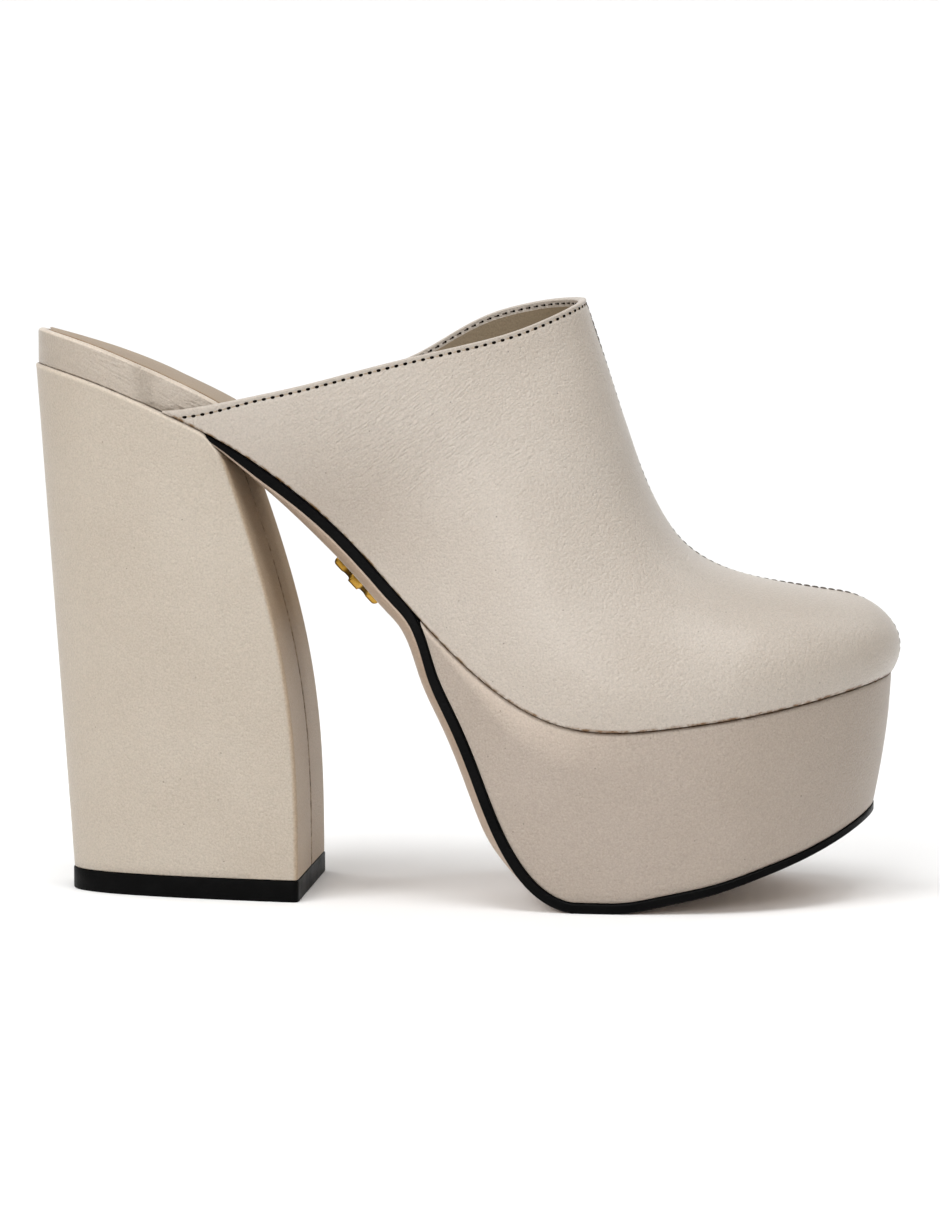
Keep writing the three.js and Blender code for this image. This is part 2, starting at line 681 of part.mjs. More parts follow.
// The heel's top: the insole's seat, and ahead of it the underside of the outsole's tucked end.
function heelTop(x) {
  const seat = featherHeight(x) - SHOE.gap;
  if (x < SOLE.start - SOLE.tuckFrom) return seat;
  const share = soleShareAt(Math.max(x, SOLE.start));
  const [ax] = solePath.along(share);
  const under = soleThickness(share) / ax + 1.6 * SHOE.gap;
  return seat - under * ease(SOLE.start - SOLE.tuckFrom, SOLE.start - SOLE.tuckTo, x);
}
function heelGeometry() {
  const foot = LIFT.thickness + SHOE.gap;
  const rows = [heelLoop(0, 0, () => foot)];
  for (let k = 0; k <= EXTENT.heelLevels; k++) {
    const level = k / EXTENT.heelLevels;
    rows.push(heelLoop(level, 1, (x) => mix(foot, heelTop(x), level)));
  }
  rows.push(heelLoop(1, 0.5, heelTop), heelLoop(1, 0, heelTop));
  return skin(rows.map(zip), true);
}
function liftGeometry() {
  const top = LIFT.thickness;
  return skin(
    [
      heelLoop(0, 0, () => 0, LIFT.lip),
      heelLoop(0, 1, () => 0, LIFT.lip),
      heelLoop(0, 1, () => top, LIFT.lip),
      heelLoop(0, 0, () => top, LIFT.lip),
    ].map(zip),
    true,
  );
}
// Where a loop has closed to a line, its second half takes the first half's points.
function zip(row) {
  if (row.some(([, y]) => y !== 0)) return row;
  return row.map((_, j) => row[Math.min(j, row.length - 1 - j)]);
}

// A plain bar fixed under the waist: two round-ended tabs and a square collar.
function barGeometry() {
  const half = BAR.length / 2;
  const outlineShape = new THREE.Shape();
  const low = 0;
  const high = BAR.thickness;
  const neck = BAR.collar / 2;
  const proud = BAR.collarProud;
  const round = Math.min(BAR.endRound, BAR.thickness * 0.6);
  outlineShape.moveTo(-half, low);
  outlineShape.lineTo(half, low);
  outlineShape.lineTo(half, high - round);
  outlineShape.quadraticCurveTo(half, high, half - round, high);
  outlineShape.lineTo(neck, high);
  outlineShape.lineTo(neck, high + proud);
  outlineShape.lineTo(-neck, high + proud);
  outlineShape.lineTo(-neck, high);
  outlineShape.lineTo(-half + round, high);
  outlineShape.quadraticCurveTo(-half, high, -half, high - round);
  const geometry = new THREE.ExtrudeGeometry(outlineShape, {
    depth: BAR.width,
    bevelEnabled: false,
    curveSegments: 4,
  });
  geometry.translate(0, 0, -BAR.width / 2);
  return geometry;
}

const shoe = new THREE.Group();
function addPiece(name, geometry, finish) {
  const mesh = new THREE.Mesh(geometry, new THREE.MeshStandardMaterial(COLOURS[finish]));
  mesh.name = name;
  shoe.add(mesh);
  return mesh;
}
addPiece("upper", upperGeometry(), "leather");
addPiece("insole", insoleGeometry(), "wrap");
addPiece("sock", sockGeometry(), "lining");
addPiece("platform", platformGeometry(), "wrap");
addPiece("outsole", outsoleGeometry(), "edge");
addPiece("heel", heelGeometry(), "wrap");
addPiece("heel_lift", liftGeometry(), "rubber");

// The bar lies along the underside of the waist, its face turned down and back.
const bar = addPiece("sole_bar", barGeometry(), "brass");
const barShare = soleShareAt(BAR.at);
const [barX, barZ] = solePath.at(barShare);
const [barAlongX, barAlongZ] = solePath.along(barShare);
const barDepth = soleThickness(barShare) + soleCrown(barShare) + 1.5 * SHOE.gap;
bar.position.set(barX + barDepth * barAlongZ, centreLine(barX), barZ - barDepth * barAlongX);
bar.quaternion.setFromRotationMatrix(
  new THREE.Matrix4().makeBasis(
    new THREE.Vector3(barAlongX, 0, barAlongZ),
    new THREE.Vector3(barAlongZ, 0, -barAlongX),
    new THREE.Vector3(0, 1, 0),
  ),
);

// The origin is at the middle of the shoe's box, on the floor.
const box = new THREE.Box3().setFromObject(shoe);
const part = new THREE.Group();
shoe.position.set(-(box.min.x + box.max.x) / 2, -(box.min.y + box.max.y) / 2, -box.min.z);
part.add(shoe);

export default part;
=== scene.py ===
"""A cream leather platform mule with a tall block heel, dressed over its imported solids.

Every piece is drawn from the last: a feather line in side view, a plan, the ridge of the vamp and a
short table of sections. Lengths are in millimetres, with the heel's back at X = 0 and the floor at
Z = 0, until a mesh is made; the frame is in metres.
"""
import logging
import math
from dataclasses import dataclass, field
from enum import Enum
from typing import Callable, Sequence

import bpy
import numpy as np
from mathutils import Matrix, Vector


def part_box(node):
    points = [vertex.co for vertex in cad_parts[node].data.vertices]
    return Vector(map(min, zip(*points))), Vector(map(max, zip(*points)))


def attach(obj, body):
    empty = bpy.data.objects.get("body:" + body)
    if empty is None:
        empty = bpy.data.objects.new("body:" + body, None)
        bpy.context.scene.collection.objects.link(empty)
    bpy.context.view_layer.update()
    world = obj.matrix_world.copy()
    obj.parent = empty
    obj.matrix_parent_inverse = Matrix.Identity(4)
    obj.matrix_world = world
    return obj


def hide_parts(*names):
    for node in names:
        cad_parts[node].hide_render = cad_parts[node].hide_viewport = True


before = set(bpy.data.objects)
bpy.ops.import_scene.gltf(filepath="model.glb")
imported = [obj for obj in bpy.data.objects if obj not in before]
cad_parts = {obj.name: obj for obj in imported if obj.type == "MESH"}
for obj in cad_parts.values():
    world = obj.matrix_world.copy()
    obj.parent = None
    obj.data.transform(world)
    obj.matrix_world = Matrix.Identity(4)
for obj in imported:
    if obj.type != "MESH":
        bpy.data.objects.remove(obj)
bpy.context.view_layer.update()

MM = 0.001
GAP = 0.3
# Glued leather meets closer in the picture than the solids' clearance.
SEEN_GAP = 0.05
log = logging.getLogger("mule")

# Short names for the types that most functions take
Array = np.ndarray
Tree = bpy.types.NodeTree
Socket = bpy.types.NodeSocket


# Curves and small helpers


class Spline:
    """A natural cubic spline through a few points, straight beyond its ends."""

    def __init__(self, xs: Sequence[float], ys: Sequence[float]) -> None:
        """Solves for the spline's bends.

        Args:
            xs: where the points are, rising.
            ys: the values there.
        """
        self.xs = np.asarray(xs, float)
        self.ys = np.asarray(ys, float)
        step = np.diff(self.xs)
        slope = np.diff(self.ys) / step
        count = len(self.xs)
        system = np.eye(count)
        turn = np.zeros(count)
        for i in range(1, count - 1):
            system[i, i - 1 : i + 2] = step[i - 1], 2 * (step[i - 1] + step[i]), step[i]
            turn[i] = 6 * (slope[i] - slope[i - 1])
        self.bend = np.linalg.solve(system, turn)

    def __call__(self, at: Array) -> Array:
        """The value at each place.

        Args:
            at: one place or an array of them.

        Returns:
            The values, in the same shape.
        """
        at = np.asarray(at, float)
        i = np.clip(np.searchsorted(self.xs, at) - 1, 0, len(self.xs) - 2)
        width = self.xs[i + 1] - self.xs[i]
        t = (at - self.xs[i]) / width
        slope = (self.ys[i + 1] - self.ys[i]) / width
        a = 1 - t
        curl = ((a**3 - a) * self.bend[i] + (t**3 - t) * self.bend[i + 1]) * width**2
        inside = a * self.ys[i] + t * self.ys[i + 1] + curl / 6
        before = self.ys[i] + (at - self.xs[i]) * (slope - width * self.bend[i + 1] / 6)
        after = self.ys[i + 1] + (at - self.xs[i + 1]) * (slope + width * self.bend[i] / 6)
        return np.where(t < 0, before, np.where(t > 1, after, inside))


class Path:
    """A smooth side-view path through points (x, z), by its share from start to end."""

    def __init__(self, points: Sequence[tuple[float, float]]) -> None:
        """Lays the path.

        Args:
            points: the points it passes through, in order.
        """
        spots = np.asarray(points, float)
        run = np.concatenate([[0], np.cumsum(np.hypot(*np.diff(spots, axis=0).T))])
        self.run = run
        self.total = run[-1]
        self.x = Spline(run, spots[:, 0])
        self.z = Spline(run, spots[:, 1])

    def share_of(self, index: int) -> float:
        """The share at which the path passes its point of that index."""
        return float(self.run[index] / self.total)

    def at(self, share: Array) -> tuple[Array, Array]:
        """The point (x, z) at each share."""
        return self.x(share * self.total), self.z(share * self.total)

    def along(self, share: Array) -> tuple[Array, Array]:
        """The unit direction (x, z) at each share.

        Args:
            share: shares of the path, from 0 to 1.

        Returns:
            The direction's two parts.
        """
        step = 1e-4
        ahead = self.at(share + step)
        behind = self.at(share - step)
        dx, dz = ahead[0] - behind[0], ahead[1] - behind[1]
        size = np.hypot(dx, dz)
        return dx / size, dz / size


def mix(a: Array, b: Array, t: Array) -> Array:
    """What lies a share t of the way from a to b."""
    return a + (b - a) * t


def ease(start: float, end: float, x: Array) -> Array:
    """A smooth climb from 0 at start to 1 at end."""
    t = np.clip((x - start) / (end - start), 0, 1)
    return t * t * (3 - 2 * t)


def ripple(points: Array, wavelength: float, seed: int, waves: int = 9) -> Array:
    """A gentle unevenness, from waves that run in many directions.

    Args:
        points: where it is wanted, with X, Y and Z on the last axis.
        wavelength: about how far its swells stand apart.
        seed: picks the waves.
        waves: how many waves are added.

    Returns:
        A value of about -1 to 1 at each point.
    """
    draw = np.random.default_rng(seed)
    total = np.zeros(points.shape[:-1])
    for _ in range(waves):
        heading = draw.normal(size=3)
        heading *= 2 * math.pi / (wavelength * draw.uniform(0.7, 1.5) * np.linalg.norm(heading))
        total += np.sin(points @ heading + draw.uniform(0, 2 * math.pi))
    return total / math.sqrt(waves)


def table(rows: Sequence[Sequence[float]], column: int) -> Spline:
    """A spline through one column of a table, against its first."""
    return Spline([row[0] for row in rows], [row[column] for row in rows])


# The last, and what follows its lines


@dataclass(frozen=True)
class Last:
    """The form that the shoe is made over, with the lines that its soles follow."""

    length: float = 220.0
    seat_height: float = 136.5
    ball_height: float = 45.0
    toe_spring: float = 12.0
    seat_width: float = 56.0
    waist_width: float = 44.5
    ball_width: float = 84.0
    seat_round: float = 36.0
    seat_power: float = 2.4
    toe_round: float = 46.0
    toe_power: float = 2.0
    swing: float = 4.0
    instep: float = 107.6
    corner: float = 36.4
    bulge: float = 7.0
    # Side view of the feather line: share of length, share of the seat's rise, share of the toe spring.
    feather: tuple = (
        (0.0, 1.0, 0),
        (0.095, 0.928, 0),
        (0.165, 0.855, 0),
        (0.235, 0.77, 0),
        (0.305, 0.656, 0),
        (0.37, 0.524, 0),
        (0.43, 0.372, 0),
        (0.485, 0.233, 0),
        (0.545, 0.109, 0),
        (0.6, 0.033, 0),
        (0.66, 0.0, 0.0),
        (0.74, 0.0, 0.07),
        (0.82, 0.0, 0.28),
        (0.91, 0.0, 0.61),
        (1.0, 0.0, 1.0),
    )
    # Plan: share of length, shares of seat, waist and ball width, and the lean to the inner side.
    plan: tuple = (
        (0.0, 0.98, 0, 0, 0.0),
        (0.13, 1.0, 0, 0, 0.0),
        (0.2, 0.965, 0, 0, -0.1),
        (0.27, 0.875, 0, 0, -0.3),
        (0.35, 0, 1.0, 0, -0.6),
        (0.43, 0, 1.13, 0, -0.7),
        (0.51, 0, 0, 0.76, -0.45),
        (0.59, 0, 0, 0.915, -0.2),
        (0.68, 0, 0, 1.0, 0.0),
        (0.76, 0, 0, 1.015, 0.25),
        (0.86, 0, 0, 0.995, 0.6),
        (1.0, 0, 0, 0.97, 1.0),
    )
    # The ridge of the vamp: share of length, share of the instep, share of the toe spring.
    ridge_rows: tuple = (
        (0.62, 1.12, 0),
        (0.6418, 1.0, 0),
        (0.6655, 0.857, 0),
        (0.696, 0.665, 0),
        (0.7127, 0.573, 0),
        (0.7323, 0.49, 0),
        (0.7586, 0.419, 0),
        (0.7973, 0.363, 0.02),
        (0.84, 0.312, 0.22),
        (0.888, 0.268, 0.46),
        (0.939, 0.223, 0.72),
    )
    # Sections: share of length on the feather line, share of the ridge, fullness low and high, swell.
    sections: tuple = (
        (0.13, 0.0, 0.72, 0.84, -0.1),
        (0.236, 0.215, 0.7, 0.9, 0.4),
        (0.341, 0.345, 0.66, 1.06, 1.4),
        (0.432, 0.469, 0.6, 1.0, 1.6),
        (0.509, 0.579, 0.56, 0.9, 1.3),
        (0.591, 0.674, 0.54, 0.81, 0.95),
        (0.682, 0.762, 0.52, 0.75, 0.8),
        (0.773, 0.848, 0.52, 0.72, 0.7),
        (0.864, 0.922, 0.52, 0.71, 0.75),
        (0.932, 0.968, 0.51, 0.72, 0.85),
        (1.0, 1.0, 0.5, 0.75, 1.0),
    )
    # The topline: share of the way from corner to throat, the climb made on the outer and inner side.
    topline: tuple = (
        (-0.15, 0.005, 0.005),
        (0.0, 0.0, 0.0),
        (0.1, 0.02, 0.045),
        (0.2, 0.085, 0.12),
        (0.33, 0.185, 0.235),
        (0.47, 0.315, 0.375),
        (0.58, 0.415, 0.535),
        (0.67, 0.49, 0.72),
        (0.75, 0.555, 0.865),
        (0.84, 0.64, 0.965),
        (0.92, 0.745, 1.025),
        (1.0, 0.87, 1.06),
        (1.1, 1.05, 1.09),
    )
    curves: dict = field(default_factory=dict, init=False)

    def __post_init__(self) -> None:
        """Draws the splines of the tables once."""
        widths = [
            (row[0], row[1] * self.seat_width + row[2] * self.waist_width + row[3] * self.ball_width)
            for row in self.plan
        ]
        self.curves.update(
            pitch=table(self.feather, 1),
            spring=table(self.feather, 2),
            width=table(widths, 1),
            lean=table(self.plan, 4),
            ridge=table(self.sections, 1),
            side=table(self.sections, 2),
            top=table(self.sections, 3),
            swell=table(self.sections, 4),
            outer=table(self.topline, 1),
            inner=table(self.topline, 2),
        )

    @property
    def throat(self) -> tuple[float, float]:
        """The top of the centre seam, as (x, z)."""
        return self.ridge_rows[1][0] * self.length, self.ball_height + self.instep

    def ridge(self) -> Path:
        """The ridge of the vamp as a path."""
        return Path(
            [
                (
                    along * self.length,
                    self.ball_height + rise * self.instep + spring * self.toe_spring,
                )
                for along, rise, spring in self.ridge_rows
            ]
        )

    def feather_height(self, x: Array) -> Array:
        """The height of the feather line, where upper meets sole.

        Args:
            x: places along the foot.

        Returns:
            The height at each.
        """
        at = x / self.length
        pitch = self.curves["pitch"](at) * (self.seat_height - self.ball_height)
        return self.ball_height + pitch + self.curves["spring"](at) * self.toe_spring

    def centre(self, x: Array) -> Array:
        """Y of the middle line of the plan."""
        return self.curves["lean"](x / self.length) * self.swing

    def into_toe(self, x: Array) -> Array:
        """How far x lies into the round stretch at the toe, from 0 to 1 at its tip."""
        return np.clip((x - (self.length - self.toe_round)) / self.toe_round, 0, 1)

    def half_width(self, x: Array) -> Array:
        """Half the width of the plan.

        Args:
            x: places along the foot.

        Returns:
            Half the width at each.
        """
        toe = self.into_toe(x)
        seat = np.clip((self.seat_round - x) / self.seat_round, 0, 1)
        ends = (1 - toe**self.toe_power) ** (1 / self.toe_power)
        ends = ends * (1 - seat**self.seat_power) ** (1 / self.seat_power)
        return 0.5 * self.curves["width"](x / self.length) * ends

    def point(self, turn: Array, h: Array) -> Array:
        """Points of the last's upper surface.

        Args:
            turn: -1 is the outer side at the back, 0 the toe tip and 1 the inner side.
            h: 0 is the feather line and 1 the ridge.

        Returns:
            The points, with X, Y and Z on a last axis of their own.
        """
        turn, h = np.broadcast_arrays(turn, h)
        start = self.sections[0][0] * self.length
        x = start + (self.length - start) * np.cos(turn * math.pi / 2)
        sign = np.sign(turn)
        y = self.centre(x) + sign * self.half_width(x)
        z = self.feather_height(x)
        toe = self.into_toe(x)
        ox, oy = toe, sign * np.sqrt(1 - toe**2)
        at = x / self.length
        share = np.minimum(1, self.curves["ridge"](at))
        ridge = self.ridge()
        mx, mz = ridge.at(share)
        tx, tz = ridge.along(share)
        my = self.centre(mx)
        inset = (x - mx) * ox + (y - my) * oy
        climb = np.stack([mx + inset * ox - x, my + inset * oy - y, mz - z], -1)
        low = np.stack([x, y, z], -1)
        out = np.stack([ox, oy, np.zeros_like(ox)], -1)
        side = self.curves["side"](at)[..., None]
        swell = (self.curves["swell"](at) * self.bulge)[..., None]
        top = self.curves["top"](at) * inset
        high = np.stack([mx, my, mz], -1)
        p1 = low + side * climb + swell * out
        p2 = high + np.stack([top * ox * tx, top * oy, top * ox * tz], -1)
        a, b = (1 - h)[..., None], h[..., None]
        return a**3 * low + 3 * a * a * b * p1 + 3 * a * b * b * p2 + b**3 * high

    def topline_height(self, x: Array, y: Array) -> Array:
        """The height of the sheet that cuts the collar.

        Args:
            x: places along the foot.
            y: places across it.

        Returns:
            The height at each.
        """
        throat_x, throat_z = self.throat
        corner_z = self.feather_height(self.corner)
        at = (x - self.corner) / (throat_x - self.corner)
        across = ease(-0.5 * self.seat_width, 0.5 * self.seat_width, y)
        share = mix(self.curves["outer"](at), self.curves["inner"](at), across)
        return mix(corner_z, throat_z, share)

    def topline_turn(self, side: int, h: Array, below: Callable) -> Array:
        """How far back the leather reaches on one side.

        Args:
            side: -1 is the outer side and 1 the inner.
            h: heights on the section, 0 to 1.
            below: gives how far under the cut it ends, from x.

        Returns:
            The turn, without its sign, at each h.
        """
        covered = np.full(np.shape(h), 0.3)
        away = np.ones(np.shape(h))
        for _ in range(40):
            turn = (covered + away) / 2
            p = self.point(side * turn, h)
            under = p[..., 2] < self.topline_height(p[..., 0], p[..., 1]) - below(p[..., 0])
            covered = np.where(under, turn, covered)
            away = np.where(under, away, turn)
        return covered

    def loop(self, turns: Array, inset: Callable) -> tuple[Array, Array]:
        """The outline of the whole foot, drawn in from its edge.

        Args:
            turns: from 0 to 1 round it, starting at the toe.
            inset: gives how far it is drawn in, from x.

        Returns:
            X and Y of each point.
        """

        def spot(share: Array) -> tuple[Array, Array]:
            """A point of the full outline."""
            x = 0.5 * self.length * (1 + np.cos(share * 2 * math.pi))
            return x, self.centre(x) + np.sign(np.sin(share * 2 * math.pi)) * self.half_width(x)

        step = 1e-3
        x, y = spot(turns)
        ahead, behind = spot(turns + step), spot(turns - step)
        dx, dy = ahead[0] - behind[0], ahead[1] - behind[1]
        size = np.hypot(dx, dy)
        depth = inset(x)
        return x - depth * dy / size, y + depth * dx / size


LAST = Last()
BAR_AT = 88.5
INSOLE_INSET = 0.2


def shoe_shift() -> Array:
    """What is added to the shoe's millimetres to reach the row frame, read from two CAD boxes."""
    low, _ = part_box("insole")
    bar_low, bar_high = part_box("sole_bar")
    middle = 0.5 * (bar_low[1] + bar_high[1]) / MM
    return np.array([low[0] / MM - INSOLE_INSET, middle - float(LAST.centre(BAR_AT)), 0.0])


SHIFT = shoe_shift()


# Meshes


def weld(points: Array, faces: list) -> tuple[Array, list]:
    """Merges doubled points and drops the faces that this empties.

    Args:
        points: one point to a row.
        faces: lists of point numbers.

    Returns:
        The kept points and faces.
    """
    keys = np.round(points / 1e-4).astype(np.int64)
    _, first, back = np.unique(keys, axis=0, return_index=True, return_inverse=True)
    back = back.reshape(-1)
    kept = []
    for face in faces:
        ring = []
        for corner in face:
            spot = int(back[corner])
            if spot not in ring:
                ring.append(spot)
        if len(ring) > 2:
            kept.append(ring)
    return points[first], kept


def grid_faces(rows: int, columns: int, closed: bool = False) -> list:
    """The four-sided faces of a grid of points.

    Args:
        rows: how many rows it has.
        columns: how many points are in each row.
        closed: whether each row's end joins its start.

    Returns:
        Lists of point numbers.
    """
    wide = columns if closed else columns - 1
    faces = []
    for i in range(rows - 1):
        for j in range(wide):
            k = (j + 1) % columns
            faces.append([i * columns + j, i * columns + k, (i + 1) * columns + k, (i + 1) * columns + j])
    return faces


def volume(points: Array, faces: list) -> float:
    """The signed volume inside closed faces, below zero where they face inwards.

    Args:
        points: one point to a row.
        faces: lists of point numbers.

    Returns:
        The volume.
    """
    total = 0.0
    for face in faces:
        a = points[face[0]]
        for second, third in zip(face[1:-1], face[2:]):
            total += float(np.dot(a, np.cross(points[second], points[third])))
    return total / 6


class Bench:
    """Where meshes are made and placed in the row frame."""

    def solid(
        self,
        name: str,
        points: Array,
        faces: list,
        finish: bpy.types.Material,
        stands_for: Sequence[str] = (),
        crisp: float = 40.0,
        marks: dict | None = None,
    ) -> bpy.types.Object:
        """Makes one closed piece and hands it to the frame.

        Args:
            name: the piece's name.
            points: its points in millimetres.
            faces: its faces.
            finish: its material.
            stands_for: the CAD nodes that it replaces.
            crisp: edges that turn by more than this many degrees stay sharp.
            marks: values for each point that its material reads, by name.

        Returns:
            The object.
        """
        marks = marks or {}
        stacked = np.hstack([points, *[np.reshape(values, (-1, 1)) for values in marks.values()]])
        keys = np.round(points / 1e-4).astype(np.int64)
        _, first = np.unique(keys, axis=0, return_index=True)
        spots, kept = weld(points, faces)
        if volume(spots, kept) < 0:
            kept = [face[::-1] for face in kept]
        mesh = bpy.data.meshes.new(name)
        mesh.from_pydata(((spots + SHIFT) * MM).tolist(), [], kept)
        mesh.polygons.foreach_set("use_smooth", [True] * len(mesh.polygons))
        mesh.set_sharp_from_angle(angle=math.radians(crisp))
        for number, label in enumerate(marks):
            layer = mesh.attributes.new(label, "FLOAT", "POINT")
            layer.data.foreach_set("value", stacked[first, 3 + number].astype(np.float32))
        mesh.materials.append(finish)
        mesh.update()
        piece = bpy.data.objects.new(name, mesh)
        bpy.context.scene.collection.objects.link(piece)
        return self.hand_over(piece, stands_for)

    def hand_over(
        self, piece: bpy.types.Object, stands_for: Sequence[str] = ()
    ) -> bpy.types.Object:
        """Lets a finished piece ride on the shoe and hides the CAD nodes that it stands for.

        Args:
            piece: the finished piece.
            stands_for: the CAD nodes that it replaces.

        Returns:
            The piece.
        """
        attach(piece, "root")
        if stands_for:
            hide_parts(*stands_for)
        log.info("%s: %d faces", piece.name, len(piece.data.polygons))
        return piece


def face_normals(points: Array, faces: list, same: Array) -> Array:
    """Smooth normals of a grid whose doubled points share one normal.

    Args:
        points: one point to a row.
        faces: four-sided faces.
        same: for each point, the number of the point that it counts as.

    Returns:
        A unit normal for each point.
    """
    quads = np.asarray(faces)
    across = points[quads[:, 2]] - points[quads[:, 0]]
    other = points[quads[:, 3]] - points[quads[:, 1]]
    normal = np.cross(across, other)
    total = np.zeros_like(points)
    for corner in range(4):
        np.add.at(total, same[quads[:, corner]], normal)
    total = total[same]
    return total / np.maximum(np.linalg.norm(total, axis=1, keepdims=True), 1e-12)


# Colours and finishes


def colour(code: str) -> tuple[float, float, float, float]:
    """A linear colour from an sRGB hex code.

    Args:
        code: six hex digits.

    Returns:
        Red, green, blue and an opaque alpha.
    """
    channels = [int(code[i : i + 2], 16) / 255 for i in (0, 2, 4)]
    linear = [c / 12.92 if c <= 0.04045 else ((c + 0.055) / 1.055) ** 2.4 for c in channels]
    return (*linear, 1.0)


def add(tree: Tree, kind: str, settings: dict | None = None, links: dict | None = None) -> bpy.types.Node:
    """Adds a node with its settings and links.

    Args:
        tree: the node tree.
        kind: the node's type name.
        settings: attributes by name, and input values by the input's name after "in:".
        links: for each input, the output socket that feeds it.

    Returns:
        The node.
    """
    node = tree.nodes.new(kind)
    for key, value in (settings or {}).items():
        if key.startswith("in:"):
            name = key[3:]
            node.inputs[int(name) if name.isdigit() else name].default_value = value
        else:
            setattr(node, key, value)
    for key, source in (links or {}).items():
        tree.links.new(source, node.inputs[int(key) if key.isdigit() else key])
    return node


def scale_for(size_mm: float) -> float:
    """The texture scale at which a pattern's cells are about that many millimetres."""
    return 1 / (size_mm * MM)


def span(start: float, end: float, low: float, high: float) -> dict:
    """Settings for a value that goes from low to high while its source goes from start to end."""
    return {"in:From Min": start, "in:From Max": end, "in:To Min": low, "in:To Max": high}


# Where most of a noise's values lie
NOISE_MIDDLE = (0.3, 0.7)
TIMES = {"operation": "MULTIPLY"}


@dataclass(frozen=True)
class Crease:
    """One soft crease on the outer side: a shallow valley, in the shoe's own millimetres."""

    x: float
    z: float
    length: float
    climb: float
    width: float = 0.5
    depth: float = 0.08
    y: float = -26.0
    reach: float = 22.0

    def height(self, tree: Tree, place: Socket) -> Socket:
        """A value that is 1 along the crease and fades around it.

        Args:
            tree: the node tree.
            place: Object coordinates.

        Returns:
            The value's socket.
        """
        centre = (np.array([self.x, self.y, self.z]) + SHIFT) * MM
        settings = {
            "vector_type": "TEXTURE",
            "in:Location": tuple(centre),
            "in:Rotation": (0.0, -math.radians(self.climb), 0.0),
            "in:Scale": (0.5 * self.length * MM, self.reach * MM, self.width * MM),
        }
        local = add(tree, "ShaderNodeMapping", settings, {"Vector": place}).outputs["Vector"]
        square = add(tree, "ShaderNodeVectorMath", {"operation": "DOT_PRODUCT"}, {"0": local, "1": local})
        fade = {"operation": "POWER", "in:0": math.exp(-1)}
        return add(tree, "ShaderNodeMath", fade, {"1": square.outputs["Value"]}).outputs["Value"]


